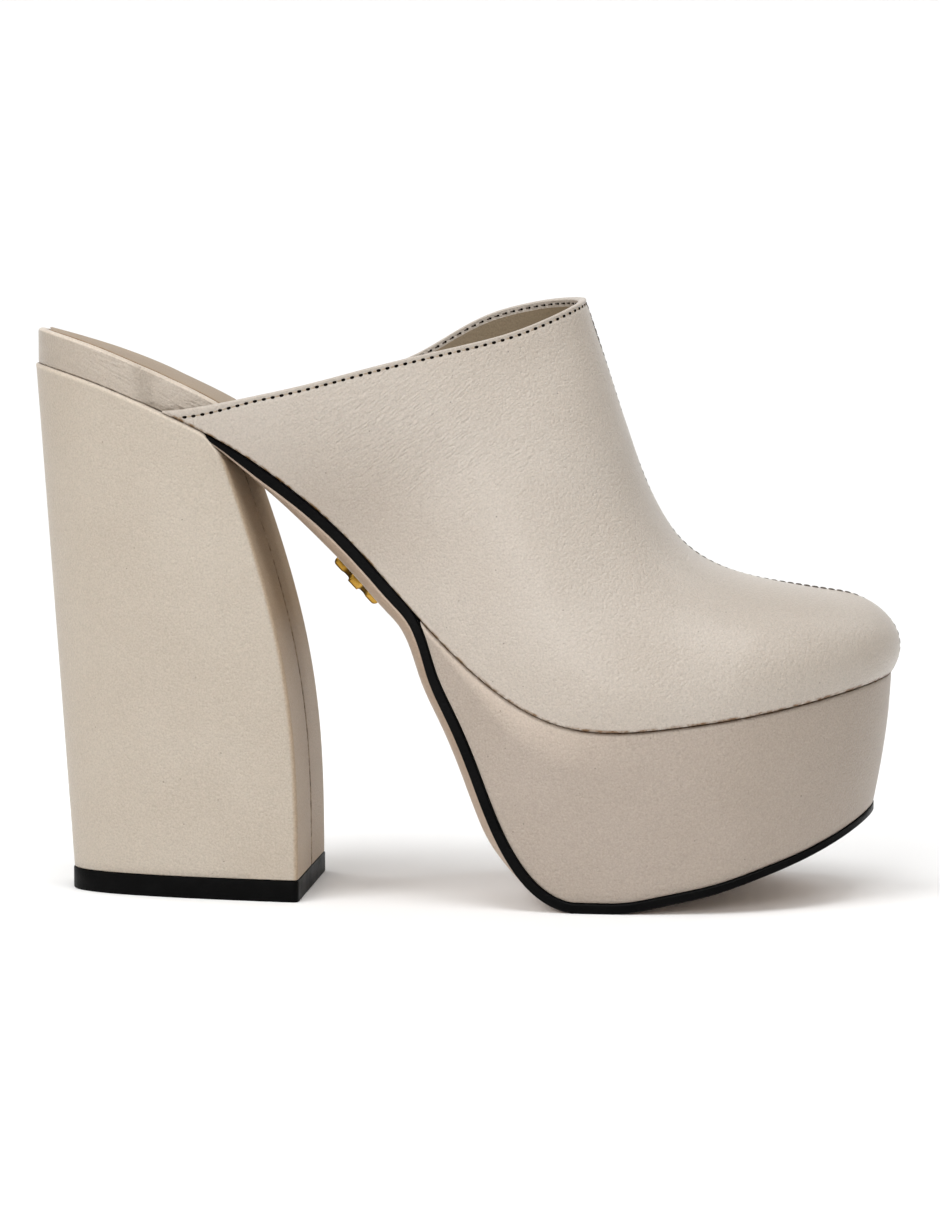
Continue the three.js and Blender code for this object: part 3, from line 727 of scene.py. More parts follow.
@dataclass(frozen=True)
class Leather:
    """Full-grain calf, pigmented and plated: even colour, fine pebble grain and a satin sheen."""

    name: str
    pale: str
    deep: str
    roughness: float = 0.38
    coat: float = 0.25
    # Drawn a little coarser than real calf grain, so that it still shows at the photograph's size.
    grain_mm: float = 0.7
    grain_depth_mm: float = 0.15
    crease_mm: float = 0.48
    crease_depth_mm: float = 0.6
    crease_climb: float = 38.0
    specular: float = 0.5
    edge: str = "6e4e28"
    # The tint of its painted shade, laid where its mark of painted light is below zero.
    painted_shade_tint: str = ""
    specks: float = 0.55
    speck_apart_mm: float = 5.2
    cloud_mm: float = 34.0
    mottle_mm: float = 0.45
    pore_mm: float = 0.4
    cement_mm: float = 2.0
    creases: tuple = ()

    def make(self) -> bpy.types.Material:
        """Builds the material.

        Returns:
            The material.
        """
        material = bpy.data.materials.new(self.name)
        material.use_nodes = True
        tree = material.node_tree
        tree.nodes.clear()
        place = add(tree, "ShaderNodeTexCoord").outputs["Object"]
        broad = {"in:Scale": scale_for(self.cloud_mm), "in:Detail": 2.0}
        cloud = add(tree, "ShaderNodeTexNoise", broad, {"Vector": place}).outputs["Fac"]
        height = self.relief(tree, place)
        bump = add(tree, "ShaderNodeBump", {"in:Strength": 1.0, "in:Distance": MM}, {"Height": height})
        satin = span(*NOISE_MIDDLE, self.roughness - 0.03, self.roughness + 0.04)
        sheen = add(tree, "ShaderNodeMapRange", satin, {"Value": cloud}).outputs["Result"]
        settings = {
            "in:IOR": 1.5,
            "in:Subsurface Weight": 0.05,
            "in:Subsurface Radius": (0.004, 0.0025, 0.0018),
            "in:Subsurface Scale": 0.3,
            "in:Specular IOR Level": self.specular,
            "in:Coat Weight": self.coat,
            "in:Coat Roughness": 0.32,
        }
        links = {
            "Base Color": self.tone(tree, place, cloud),
            "Roughness": sheen,
            "Normal": bump.outputs["Normal"],
        }
        # Where painted shade is laid on, the sheen is taken away with it.
        if self.painted_shade_tint:
            links["Specular IOR Level"] = self.by_painted_light(tree, (-1.0, 0.0), (0.0, self.specular))
            links["Coat Weight"] = self.by_painted_light(tree, (-1.0, 0.0), (0.0, self.coat))
        shader = add(tree, "ShaderNodeBsdfPrincipled", settings, links)
        add(tree, "ShaderNodeOutputMaterial", links={"Surface": shader.outputs["BSDF"]})
        return material

    def by_painted_light(self, tree: Tree, painted_light: tuple, values: tuple) -> Socket:
        """A value that follows the piece's mark of painted light: a painted highlight above zero, painted
        shade below it.

        Args:
            tree: the node tree.
            painted_light: the marks at which it starts and stops changing.
            values: what it is at those two marks.

        Returns:
            The value's socket.
        """
        mark = add(tree, "ShaderNodeAttribute", {"attribute_name": "painted_light"}).outputs["Fac"]
        return add(tree, "ShaderNodeMapRange", span(*painted_light, *values), {"Value": mark}).outputs["Result"]

    def tone(self, tree: Tree, place: Socket, cloud: Socket) -> Socket:
        """The colour: a faint cloud of pigment, fine mottle, a few dark specks, painted highlight and painted
        shade, and cement.

        Args:
            tree: the node tree.
            place: Object coordinates.
            cloud: a broad noise.

        Returns:
            The colour's socket.
        """
        stops = add(tree, "ShaderNodeValToRGB", links={"Fac": cloud})
        for stop, at, code in zip(stops.color_ramp.elements, NOISE_MIDDLE, (self.deep, self.pale)):
            stop.position, stop.color = at, colour(code)
        base = stops.outputs["Color"]
        # Painted shade: the colour is drawn towards its tint where the light mark falls below zero.
        if self.painted_shade_tint:
            painted_shade_mix = {"data_type": "RGBA", "in:7": colour(self.painted_shade_tint)}
            share = self.by_painted_light(tree, (-1.0, 0.0), (1.0, 0.0))
            base = add(tree, "ShaderNodeMix", painted_shade_mix, {"0": share, "6": base}).outputs[2]
        fine = {"in:Scale": scale_for(self.mottle_mm), "in:Detail": 2.0}
        mottle = add(tree, "ShaderNodeTexNoise", fine, {"Vector": place}).outputs["Fac"]
        mottled = add(tree, "ShaderNodeMapRange", span(*NOISE_MIDDLE, 0.9, 1.09), {"Value": mottle})
        sparse = {"feature": "F1", "in:Scale": scale_for(self.speck_apart_mm)}
        dots = add(tree, "ShaderNodeTexVoronoi", sparse, {"Vector": place}).outputs["Distance"]
        clean = add(tree, "ShaderNodeMapRange", span(0.025, 0.05, self.specks, 1.0), {"Value": dots})
        # Painted highlight: up to 1.4 times paler where the light mark rises above zero.
        painted_highlight = self.by_painted_light(tree, (0.0, 1.0), (1.0, 1.4))
        shade = mottled.outputs["Result"]
        for factor in (clean.outputs["Result"], painted_highlight):
            shade = add(tree, "ShaderNodeMath", TIMES, {"0": shade, "1": factor}).outputs["Value"]
        tinted = add(tree, "ShaderNodeVectorMath", {"operation": "SCALE"}, {"0": base, "Scale": shade})
        edge = add(tree, "ShaderNodeAttribute", {"attribute_name": "edge"}).outputs["Fac"]
        patches = {"in:Scale": scale_for(self.cement_mm), "in:Detail": 4.0}
        patchy = add(tree, "ShaderNodeTexNoise", patches, {"Vector": place}).outputs["Fac"]
        uneven = add(tree, "ShaderNodeMapRange", span(*NOISE_MIDDLE, -0.3, 1.5), {"Value": patchy})
        glued = add(tree, "ShaderNodeMath", TIMES, {"0": edge, "1": uneven.outputs["Result"]})
        mixed = add(
            tree,
            "ShaderNodeMix",
            {"data_type": "RGBA", "clamp_factor": True, "in:7": colour(self.edge)},
            {"0": glued.outputs["Value"], "6": tinted.outputs["Vector"]},
        )
        return mixed.outputs[2]

    def relief(self, tree: Tree, place: Socket) -> Socket:
        """The surface's height in millimetres: pebble grain, pores and creases.

        Args:
            tree: the node tree.
            place: Object coordinates.

        Returns:
            The height's socket.
        """
        cells = {"feature": "F1", "in:Scale": scale_for(self.grain_mm)}
        pebbles = add(tree, "ShaderNodeTexVoronoi", cells, {"Vector": place}).outputs["Distance"]
        domed = add(tree, "ShaderNodeMath", TIMES, {"0": pebbles, "1": pebbles})
        fine = {"in:Scale": scale_for(self.pore_mm), "in:Detail": 3.0}
        pores = add(tree, "ShaderNodeTexNoise", fine, {"Vector": place})
        # Fine creases that run one way, where the piece's crease attribute lets them.
        turned = add(
            tree,
            "ShaderNodeMapping",
            {
                "vector_type": "TEXTURE",
                "in:Rotation": (0.0, -math.radians(self.crease_climb), 0.0),
                "in:Scale": (4.6, 1.6, 1.0),
            },
            {"Vector": place},
        ).outputs["Vector"]
        wavy = {"in:Scale": scale_for(self.crease_mm), "in:Detail": 2.0, "in:Distortion": 0.25}
        strands = add(tree, "ShaderNodeTexNoise", wavy, {"Vector": turned}).outputs["Fac"]
        allowed = add(tree, "ShaderNodeAttribute", {"attribute_name": "crease"}).outputs["Fac"]
        creased = add(tree, "ShaderNodeMath", TIMES, {"0": strands, "1": allowed})
        parts = [
            (domed.outputs["Value"], -self.grain_depth_mm),
            (pores.outputs["Fac"], 0.9 * self.grain_depth_mm),
            (creased.outputs["Value"], self.crease_depth_mm),
        ]
        parts += [(crease.height(tree, place), -crease.depth) for crease in self.creases]
        height = None
        for value, weight in parts:
            links = {"0": value} if height is None else {"0": value, "2": height}
            weighed = {"operation": "MULTIPLY_ADD", "in:1": weight}
            height = add(tree, "ShaderNodeMath", weighed, links).outputs["Value"]
        return height


@dataclass(frozen=True)
class Plain:
    """A finish of one body: rubber, paint, thread or plating, with its own unevenness."""

    name: str
    pale: str
    deep: str
    roughness: float
    spread: float = 0.06
    metallic: float = 0.0
    grain_mm: float = 0.6
    depth_mm: float = 0.02
    specular: float = 0.5
    # The tint of painted shade, laid where the piece's edge mark is.
    painted_shade: str = "0a0806"

    def make(self) -> bpy.types.Material:
        """Builds the material.

        Returns:
            The material.
        """
        material = bpy.data.materials.new(self.name)
        material.use_nodes = True
        tree = material.node_tree
        tree.nodes.clear()
        place = add(tree, "ShaderNodeTexCoord").outputs["Object"]
        broad = {"in:Scale": scale_for(12 * self.grain_mm), "in:Detail": 4.0}
        cloud = add(tree, "ShaderNodeTexNoise", broad, {"Vector": place}).outputs["Fac"]
        stops = add(tree, "ShaderNodeValToRGB", links={"Fac": cloud})
        for stop, at, code in zip(stops.color_ramp.elements, (0.35, 0.68), (self.deep, self.pale)):
            stop.position, stop.color = at, colour(code)
        edge = add(tree, "ShaderNodeAttribute", {"attribute_name": "edge"}).outputs["Fac"]
        tone = add(
            tree,
            "ShaderNodeMix",
            {"data_type": "RGBA", "clamp_factor": True, "in:7": colour(self.painted_shade)},
            {"0": edge, "6": stops.outputs["Color"]},
        ).outputs[2]
        fine = {"in:Scale": scale_for(self.grain_mm), "in:Detail": 3.0}
        height = add(tree, "ShaderNodeTexNoise", fine, {"Vector": place}).outputs["Fac"]
        depth = {"in:Strength": 1.0, "in:Distance": self.depth_mm * MM}
        bump = add(tree, "ShaderNodeBump", depth, {"Height": height})
        uneven = span(*NOISE_MIDDLE, self.roughness - self.spread, self.roughness + self.spread)
        gloss = add(tree, "ShaderNodeMapRange", uneven, {"Value": cloud}).outputs["Result"]
        settings = {"in:Metallic": self.metallic}
        if self.metallic == 0.0:
            settings["in:Specular IOR Level"] = self.specular
        shader = add(
            tree,
            "ShaderNodeBsdfPrincipled",
            settings,
            {"Base Color": tone, "Roughness": gloss, "Normal": bump.outputs["Normal"]},
        )
        add(tree, "ShaderNodeOutputMaterial", links={"Surface": shader.outputs["BSDF"]})
        return material


class Finish(Enum):
    """The shoe's finishes, by what the real ones are."""

    # Calf plated under a hot press: a satin sheen, hardly any grain and a few soft creases.
    UPPER = Leather(
        "cream_calf_plated",
        "b8aea3",
        "b4a99d",
        # The tint of the painted shade low at the waist.
        painted_shade_tint="8a7b6c",
        creases=(
            Crease(86.3, 127.9, 16, 10, 0.45, 0.1),
            Crease(80.5, 125.6, 9, 14, 0.4, 0.06),
            Crease(94.3, 118.6, 13, 38, 0.5, 0.07),
            Crease(104.2, 126.0, 11, 34, 0.45, 0.07),
            Crease(109.2, 113.7, 10, 42, 0.5, 0.06),
            Crease(86.8, 113.7, 11, 36, 0.5, 0.06),
            Crease(101.7, 107.5, 10, 40, 0.5, 0.05),
            Crease(113.5, 104.5, 9, 44, 0.5, 0.05),
        ),
    )
    # The same calf stretched round wood: flatter and duller, with painted shade over its breast, which is
    # made matt there too.
    WRAP = Leather(
        "cream_calf_wrapped",
        "b8ad9f",
        "b2a697",
        0.42,
        0.1,
        crease_climb=-12.0,
        crease_depth_mm=0.3,
        specular=0.4,
        edge="3f2d1b",
        painted_shade_tint="b4a18b",
    )
    # Calf pulled tight over the platform: the flattest, and a shade darker.
    COVER = Leather("cream_calf_platform", "a89b8f", "a29588", 0.42, 0.1, crease_depth_mm=0.2, specular=0.4)
    # Calf folded over a board's edge: fine slanting creases that catch the light.
    STRIP = Leather(
        "cream_calf_strip",
        "b2a699",
        "aa9e90",
        0.36,
        crease_mm=1.0,
        crease_depth_mm=0.7,
        crease_climb=-27.0,
    )
    # Thin kid, unplated: warm, smooth and matt.
    LINING = Leather("tan_lining_kid", "90806a", "86765e", 0.55, 0.0, grain_depth_mm=0.05, specular=0.3)
    SOCK = Leather("tan_sock_kid", "9d8971", "917c64", 0.52, 0.0, grain_depth_mm=0.05, specular=0.35)
    # Tanned sole leather, buffed: pale and even, with a low sheen.
    UNDER = Leather("natural_sole_leather", "b29e8c", "a89380", 0.45, 0.1, grain_depth_mm=0.04)
    # Ink and wax on a cut edge: near black, with a dull gleam.
    EDGE = Plain("black_edge_paint", "090909", "040404", 0.4, grain_mm=0.8, depth_mm=0.12, specular=0.05)
    # Moulded rubber: near black and matt.
    RUBBER = Plain(
        "black_moulded_rubber", "0a0a0a", "050505", 0.5, grain_mm=0.5, depth_mm=0.06, specular=0.05
    )
    # Brass plated and polished: bright, with soft darker reflections painted into its colour, and painted
    # shade in its valleys.
    GOLD = Plain("gold_plated_brass", "c49a48", "8f6a24", 0.2, 0.05, 1.0, depth_mm=0.006, painted_shade="2c1a07")
    # Bonded polyester: rounded and slightly waxy, tan or dark.
    THREAD = Plain("tan_bonded_thread", "b3a28e", "97866f", 0.6, grain_mm=0.3, depth_mm=0.05)
    SEAM = Plain("dark_seam_thread", "53473c", "372e27", 0.6, grain_mm=0.3, depth_mm=0.05)
    # A needle hole in shade: black, without a gleam.
    HOLE = Plain("needle_hole_shadow", "120c08", "0a0604", 0.9, specular=0.02)

    @property
    def material(self) -> bpy.types.Material:
        """The finish's material, made on first use."""
        found = bpy.data.materials.get(self.value.name)
        return found or self.value.make()


# The pieces


@dataclass
class Upper:
    """The vamp: a leather shell with a folded topline, its lining, its seam and its stitches."""

    wall: float = 2.0
    # The leather is cut above the sheet that cuts the last, so its roll ends higher still.
    cut_below: float = -0.55
    tip_below: float = 0.1
    roll_height: float = 0.45
    fold_width: float = 0.55
    fold_rise: float = 0.2
    stitch_below: float = 0.3
    tip_stitch_below: float = 1.5
    stitch_sink: float = 0.16
    turn_in: float = 0.35
    seam_depth: float = 0.34
    seam_width: float = 0.4
    seam_stitch_apart: float = 2.4
    lining_thickness: float = 0.35
    lining_below: float = 1.2
    # How far a point lies under the sheet across the leather, for each millimetre upright.
    sheet_slope: float = 0.93
    columns: int = 130
    rows: int = 100

    def heights(self) -> Array:
        """Rows of the section, close together at its two ends."""
        low = [0, 0.002, 0.005, 0.009, 0.014, 0.02]
        high = [0.974, 0.982, 0.988, 0.9915, 0.994, 0.996, 0.9975, 0.9988, 1]
        return np.concatenate([low, np.linspace(0.03, 0.965, self.rows), high])

    def sides(self) -> Array:
        """Columns of one side, from the toe to the topline, close together at both.

        Returns:
            Shares of the way.
        """
        toe = [0, 0.0012, 0.0025, 0.004, 0.006]
        short = [0.03, 0.024, 0.019, 0.015, 0.012, 0.0098, 0.0082]
        short += [0.0068, 0.0055, 0.0043, 0.0032, 0.0021, 0.001, 0]
        return np.concatenate([toe, np.linspace(0.009, 0.962, self.columns), 1 - np.array(short)])

    def grid(self, heights: Array, sides: Array, below: Callable) -> Array:
        """A grid of points over the vamp.

        Args:
            heights: rows, as shares of the section.
            sides: columns of one side, from toe to topline.
            below: gives how far under the topline's cut it ends, from x.

        Returns:
            The points, by row and column.
        """
        outer = LAST.topline_turn(-1, heights, below)
        inner = LAST.topline_turn(1, heights, below)
        inner[-1] = outer[-1]
        turns = np.hstack([-outer[:, None] * sides[::-1], inner[:, None] * sides[1:]])
        return LAST.point(turns, heights[:, None])

    def normals(self, points: Array) -> Array:
        """Unit normals of a grid over the vamp, pointing outwards.

        Args:
            points: the grid, by row and column.

        Returns:
            The normals, by row and column.
        """
        rows, columns = points.shape[:2]
        same = np.arange(rows * columns).reshape(rows, columns)
        same[-1, columns // 2 + 1 :] = same[-1, : columns // 2][::-1]
        flat = points.reshape(-1, 3)
        normal = face_normals(flat, grid_faces(rows, columns), same.reshape(-1)).reshape(points.shape)
        middle = normal[rows // 2, columns // 2]
        return normal if middle[0] > 0 else -normal

    def cut_at(self, x: Array) -> Array:
        """How far under the sheet the leather is cut."""
        return mix(self.tip_below, self.cut_below, ease(LAST.corner, LAST.corner + 14, x))

    def stitches_at(self, x: Array) -> Array:
        """How far under the sheet the stitches run."""
        return mix(self.tip_stitch_below, self.stitch_below, ease(LAST.corner, LAST.corner + 26, x))

    def relief(self, points: Array) -> Array:
        """How far the leather stands proud of the last's surface, fold, seam and creases together.

        Args:
            points: the grid on the last, by row and column.

        Returns:
            The height at each point.
        """
        x, y, z = points[..., 0], points[..., 1], points[..., 2]
        under = self.sheet_slope * (LAST.topline_height(x, y) - z)
        stitched = self.stitches_at(x)
        proud = self.fold_rise * (1 - ease(stitched - self.fold_width, stitched, under))
        proud -= self.stitch_sink * np.exp(-(((under - stitched) / 0.5) ** 2))
        edge = np.linalg.norm(points - points[:1], axis=-1)
        curl = np.clip(1 - edge / (1.4 * self.turn_in), 0, 1)
        proud -= self.turn_in * (1 - np.sqrt(1 - curl**2))
        seam = (y - LAST.centre(x)) / self.seam_width
        proud -= self.seam_depth * np.exp(-(seam**2))
        calm = ease(1, 8, under) * ease(1, 8, edge)
        proud += calm * 0.13 * ripple(points, 26, 4)
        return proud

    def creasing(self, points: Array) -> Array:
        """Where fine creases show: over the side of the instep and the waist.

        Args:
            points: the leather's points.

        Returns:
            The strength at each.
        """
        x, z = points[..., 0], points[..., 2]
        side = np.exp(-(((x - 99) / 24) ** 2) - (((z - 117) / 18) ** 2))
        return 0.12 + 0.88 * side

    def painted_waist_shade(self, points: Array) -> Array:
        """Painted shade: darker low at the waist."""
        x, z = points[..., 0], points[..., 2]
        return -0.33 * np.exp(-(((x - 78) / 26) ** 2) - (((z - 98) / 17) ** 2))

    def joining(self, points: Array) -> Array:
        """Where cement shows: along the lower edge, fading within half a millimetre."""
        above = points[..., 2] - LAST.feather_height(points[..., 0])
        return 1 - ease(0.35, 0.85, above)

    def build(self, bench: Bench) -> None:
        """Makes the leather, the lining and the stitches.

        Args:
            bench: where they are made.
        """
        self.build_leather(bench)
        self.build_lining(bench)
        self.build_stitches(bench)

    def build_leather(self, bench: Bench) -> None:
        """Makes the leather shell with its rounded topline.

        Args:
            bench: where it is made.
        """
        base = self.grid(self.heights(), self.sides(), self.cut_at)
        normal = self.normals(base)
        rows, columns = base.shape[:2]
        outer = base + self.relief(base)[..., None] * normal
        inner = base - self.wall * normal
        count = rows * columns
        faces = grid_faces(rows, columns)
        faces += [[count + corner for corner in face[::-1]] for face in faces]
        number = np.arange(count).reshape(rows, columns)
        for j in range(columns - 1):
            a, b = number[0, j], number[0, j + 1]
            faces.append([b, a, count + a, count + b])
        # The topline, from the outer corner over the throat to the inner one.
        rim = np.concatenate([number[:, 0], number[-2::-1, -1]])
        flat_out, flat_in = outer.reshape(-1, 3), inner.reshape(-1, 3)
        flat_normal = normal.reshape(-1, 3)
        start, end = flat_out[rim], flat_in[rim]
        along = np.gradient(start, axis=0)
        up = np.cross(flat_normal[rim], along)
        up /= np.linalg.norm(up, axis=1, keepdims=True)
        up *= np.sign(up[:, 2:3])
        middle = (start + end) / 2
        steps = 7
        rolls = []
        for k in range(1, steps):
            angle = math.pi * k / steps
            half = (start - end) / 2
            rolls.append(middle + math.cos(angle) * half + math.sin(angle) * self.roll_height * up)
        points = np.vstack([flat_out, flat_in, *rolls])
        wide = len(rim)
        lines = [rim, *[2 * count + k * wide + np.arange(wide) for k in range(steps - 1)], count + rim]
        for first, second in zip(lines[:-1], lines[1:]):
            for k in range(wide - 1):
                faces.append([first[k], second[k], second[k + 1], first[k + 1]])
        faces.append([line[0] for line in lines])
        faces.append([line[-1] for line in lines][::-1])
        bench.solid(
            "vamp_leather",
            points,
            faces,
            Finish.UPPER.material,
            ["upper"],
            crisp=60,
            marks={
                "crease": self.creasing(points),
                "edge": self.joining(points),
                "painted_light": self.painted_waist_shade(points),
            },
        )

    def build_lining(self, bench: Bench) -> None:
        """Makes the lining, glued to the inside of the leather.

        Args:
            bench: where it is made.
        """
        heights = np.linspace(0, 1, 64)
        base = self.grid(heights, np.linspace(0, 1, 72), lambda x: np.full_like(x, self.lining_below))
        normal = self.normals(base)
        rows, columns = base.shape[:2]
        count = rows * columns
        hidden = base - (self.wall - 0.1) * normal
        shown = base - (self.wall + self.lining_thickness) * normal
        faces = grid_faces(rows, columns)
        faces += [[count + corner for corner in face[::-1]] for face in faces]
        number = np.arange(count).reshape(rows, columns)
        rim = np.concatenate([number[:, 0], number[-2::-1, -1]])
        for a, b in zip(rim[:-1], rim[1:]):
            faces.append([a, b, count + b, count + a])
        for a, b in zip(number[0, :-1], number[0, 1:]):
            faces.append([b, a, count + a, count + b])
        points = np.vstack([hidden.reshape(-1, 3), shown.reshape(-1, 3)])
        bench.solid("vamp_lining", points, faces, Finish.LINING.material, crisp=60)

    def stitch_line(self, depth: float) -> tuple[Array, Array]:
        """The run of the topline's stitches.

        Args:
            depth: how far inside the last's surface.

        Returns:
            Points and outward normals, from the outer corner over the throat to the inner one.
        """
        heights = np.concatenate([np.linspace(0.005, 0.96, 240), np.linspace(0.963, 1, 40)])

        def below(x: Array) -> Array:
            """How far under the sheet they run, measured upright."""
            return self.stitches_at(x) / self.sheet_slope

        points = self.grid(heights, np.array([0, 0.985, 0.995, 1]), below)
        normal = self.normals(self.grid(heights, np.array([0, 0.97, 0.985, 1]), below))
        run = np.concatenate([points[:, 0], points[-2::-1, -1]])
        out = np.concatenate([normal[:, 0], normal[-2::-1, -1]])
        return run - depth * out, out

    def build_stitches(self, bench: Bench) -> None:
        """Lays threads and needle holes along the topline and the centre seam.

        Args:
            bench: where they are made.
        """
        run, out = self.stitch_line(self.stitch_sink - 0.04)
        StitchRow(2.27, (1.25, 0.4, 0.2), (1.15, 0.88, 0.36)).lay(bench, "topline", run, out)
        inside, within = self.stitch_line(self.wall + 0.02)
        StitchRow(2.27, (1.4, 0.45, 0.24), (0.8, 0.6, 0.26), Finish.SEAM).lay(
            bench, "topline_inside", inside, -within
        )
        seam, up = self.seam_line()
        # Pulled in deeper up the steep instep and at the tip, and looser over the toes.
        sink = 0.13 * (1 - ease(164, 178, seam[:, 0])) + 0.2 * ease(210, 217, seam[:, 0])
        for side, name in ((-1, "seam_outer"), (1, "seam_inner")):
            row = seam + np.array([0, 0.5 * side * self.seam_stitch_apart, 0]) - sink[:, None] * up
            StitchRow(2.1, (1.65, 0.6, 0.42), (0.5, 0.5, 0.28), Finish.SEAM).lay(bench, name, row, up)

    def seam_line(self) -> tuple[Array, Array]:
        """The centre seam, from the throat over the toe to the sole.

        Returns:
            Points and outward normals.
        """
        start = self.stitch_below + 1.2
        back = float(LAST.topline_turn(-1, np.array([1.0]), lambda x: np.full_like(x, start))[0])
        ridge = LAST.point(-np.linspace(back, 0.002, 260), np.array(1.0))
        front = LAST.point(np.array(0.0), np.linspace(0.995, 0.05, 120))
        run = np.vstack([ridge, front])
        keep = np.concatenate([[True], np.linalg.norm(np.diff(run, axis=0), axis=1) > 1e-3])
        run = run[keep]
        along = np.gradient(run, axis=0)
        up = np.stack([-along[:, 2], np.zeros(len(run)), along[:, 0]], -1)
        return run, up / np.linalg.norm(up, axis=1, keepdims=True)


@dataclass
class StitchRow:
    """A row of stitches: rounded threads with a needle hole at each end, laid by Geometry Nodes."""

    pitch: float
    thread: tuple
    hole: tuple
    finish: Finish = Finish.THREAD

    def lay(self, bench: Bench, name: str, run: Array, out: Array) -> None:
        """Lays threads and holes along a line.

        Args:
            bench: where they are made.
            name: what the row is called.
            run: the line's points in millimetres.
            out: the outward direction at each point.
        """
        seed_mesh = self.guide(run, out)
        for part, finish, size in (
            ("thread", self.finish, self.thread),
            ("hole", Finish.HOLE, self.hole),
        ):
            carrier = bpy.data.objects.new(f"{name}_{part}", seed_mesh.copy())
            bpy.context.scene.collection.objects.link(carrier)
            self.grow(carrier, finish.material, size, 0.5 if part == "hole" else 0.0)
            bench.hand_over(carrier)

    def guide(self, run: Array, out: Array) -> bpy.types.Mesh:
        """A bare line of edges that carries the outward direction.

        Args:
            run: the line's points in millimetres.
            out: the outward direction at each point.

        Returns:
            The mesh.
        """
        mesh = bpy.data.meshes.new("stitch_guide")
        edges = [(k, k + 1) for k in range(len(run) - 1)]
        mesh.from_pydata(((run + SHIFT) * MM).tolist(), edges, [])
        layer = mesh.attributes.new("out", "FLOAT_VECTOR", "POINT")
        layer.data.foreach_set("vector", out.astype(np.float32).reshape(-1))
        return mesh

    def grow(self, carrier: bpy.types.Object, finish: bpy.types.Material, size: tuple, shift: float) -> None:
        """Turns the guide into a row of small rounded forms.

        Args:
            carrier: the object that holds the guide, and then the row.
            finish: the row's material.
            size: length, width and height of one form, in millimetres.
            shift: how far along the pitch the row starts, as a share of it.
        """
        tree = bpy.data.node_groups.new("stitch_row", "GeometryNodeTree")
        face = tree.interface
        face.new_socket("Geometry", in_out="INPUT", socket_type="NodeSocketGeometry")
        sockets = {}
        for label in ("Pitch", "Start", "Length", "Width", "Height", "Loose"):
            sockets[label] = face.new_socket(label, in_out="INPUT", socket_type="NodeSocketFloat")
        sockets["Seed"] = face.new_socket("Seed", in_out="INPUT", socket_type="NodeSocketInt")
        face.new_socket("Geometry", in_out="OUTPUT", socket_type="NodeSocketGeometry")
        given = tree.nodes.new("NodeGroupInput").outputs
        line = add(tree, "GeometryNodeMeshToCurve", links={"Mesh": given["Geometry"]})
        trim = add(
            tree,
            "GeometryNodeTrimCurve",
            {"mode": "LENGTH", "in:5": 1000.0},
            {"Curve": line.outputs["Curve"], "4": given["Start"]},
        )
        spots = add(
            tree,
            "GeometryNodeResampleCurve",
            {"mode": "LENGTH"},
            {"Curve": trim.outputs["Curve"], "Length": given["Pitch"]},
        )
        wanted = {"data_type": "FLOAT_VECTOR", "in:Name": "out"}
        outward = add(tree, "GeometryNodeInputNamedAttribute", wanted)
        along = add(tree, "GeometryNodeInputTangent")
        upright = add(
            tree, "FunctionNodeAlignRotationToVector", {"axis": "Z"}, {"Vector": outward.outputs["Attribute"]}
        )
        turned = add(
            tree,
            "FunctionNodeAlignRotationToVector",
            {"axis": "X", "pivot_axis": "Z"},
            {"Rotation": upright.outputs["Rotation"], "Vector": along.outputs["Tangent"]},
        )
        wander = add(
            tree,
            "FunctionNodeRandomValue",
            {"data_type": "FLOAT_VECTOR", "in:0": (0, 0, -1), "in:1": (0, 0, 1)},
            {"Seed": given["Seed"]},
        )
        loose = add(
            tree,
            "ShaderNodeVectorMath",
            {"operation": "SCALE"},
            {"0": wander.outputs["Value"], "Scale": given["Loose"]},
        )
        tilt = add(tree, "FunctionNodeEulerToRotation", links={"Euler": loose.outputs["Vector"]})
        settled = add(
            tree,
            "FunctionNodeRotateRotation",
            {"rotation_space": "LOCAL"},
            {"Rotation": turned.outputs["Rotation"], "Rotate By": tilt.outputs["Rotation"]},
        )
        bead = add(tree, "GeometryNodeMeshUVSphere", {"in:Segments": 10, "in:Rings": 6, "in:Radius": 0.5})
        smooth = add(tree, "GeometryNodeSetShadeSmooth", links={"Geometry": bead.outputs["Mesh"]})
        form = add(
            tree,
            "ShaderNodeCombineXYZ",
            links={"X": given["Length"], "Y": given["Width"], "Z": given["Height"]},
        )
        row = add(
            tree,
            "GeometryNodeInstanceOnPoints",
            links={
                "Points": spots.outputs["Curve"],
                "Instance": smooth.outputs["Geometry"],
                "Rotation": settled.outputs["Rotation"],
                "Scale": form.outputs["Vector"],
            },
        )
        real = add(tree, "GeometryNodeRealizeInstances", links={"Geometry": row.outputs["Instances"]})
        dressed = add(
            tree, "GeometryNodeSetMaterial", {"in:Material": finish}, {"Geometry": real.outputs["Geometry"]}
        )
        add(tree, "NodeGroupOutput", links={"Geometry": dressed.outputs["Geometry"]})
        modifier = carrier.modifiers.new("stitches", "NODES")
        modifier.node_group = tree
        length, width, height = size
        values = {
            "Pitch": self.pitch * MM,
            "Start": (0.01 + shift * self.pitch) * MM,
            "Length": length * MM,
            "Width": width * MM,
            "Height": height * MM,
            "Loose": 0.09,
            "Seed": 7,
        }
        for label, value in values.items():
            modifier[sockets[label].identifier] = value
        graph = bpy.context.evaluated_depsgraph_get()
        grown = bpy.data.meshes.new_from_object(carrier.evaluated_get(graph))
        carrier.modifiers.remove(modifier)
        carrier.data = grown


def levels_solid(loops: Sequence[Array]) -> tuple[Array, list]:
    """A closed solid through rings that all have the same number of points.

    Args:
        loops: the rings, the first and last closed to a line or a point.

    Returns:
        Its points and faces.
    """
    rows, columns = len(loops), len(loops[0])
    return np.vstack(loops), grid_faces(rows, columns, closed=True)


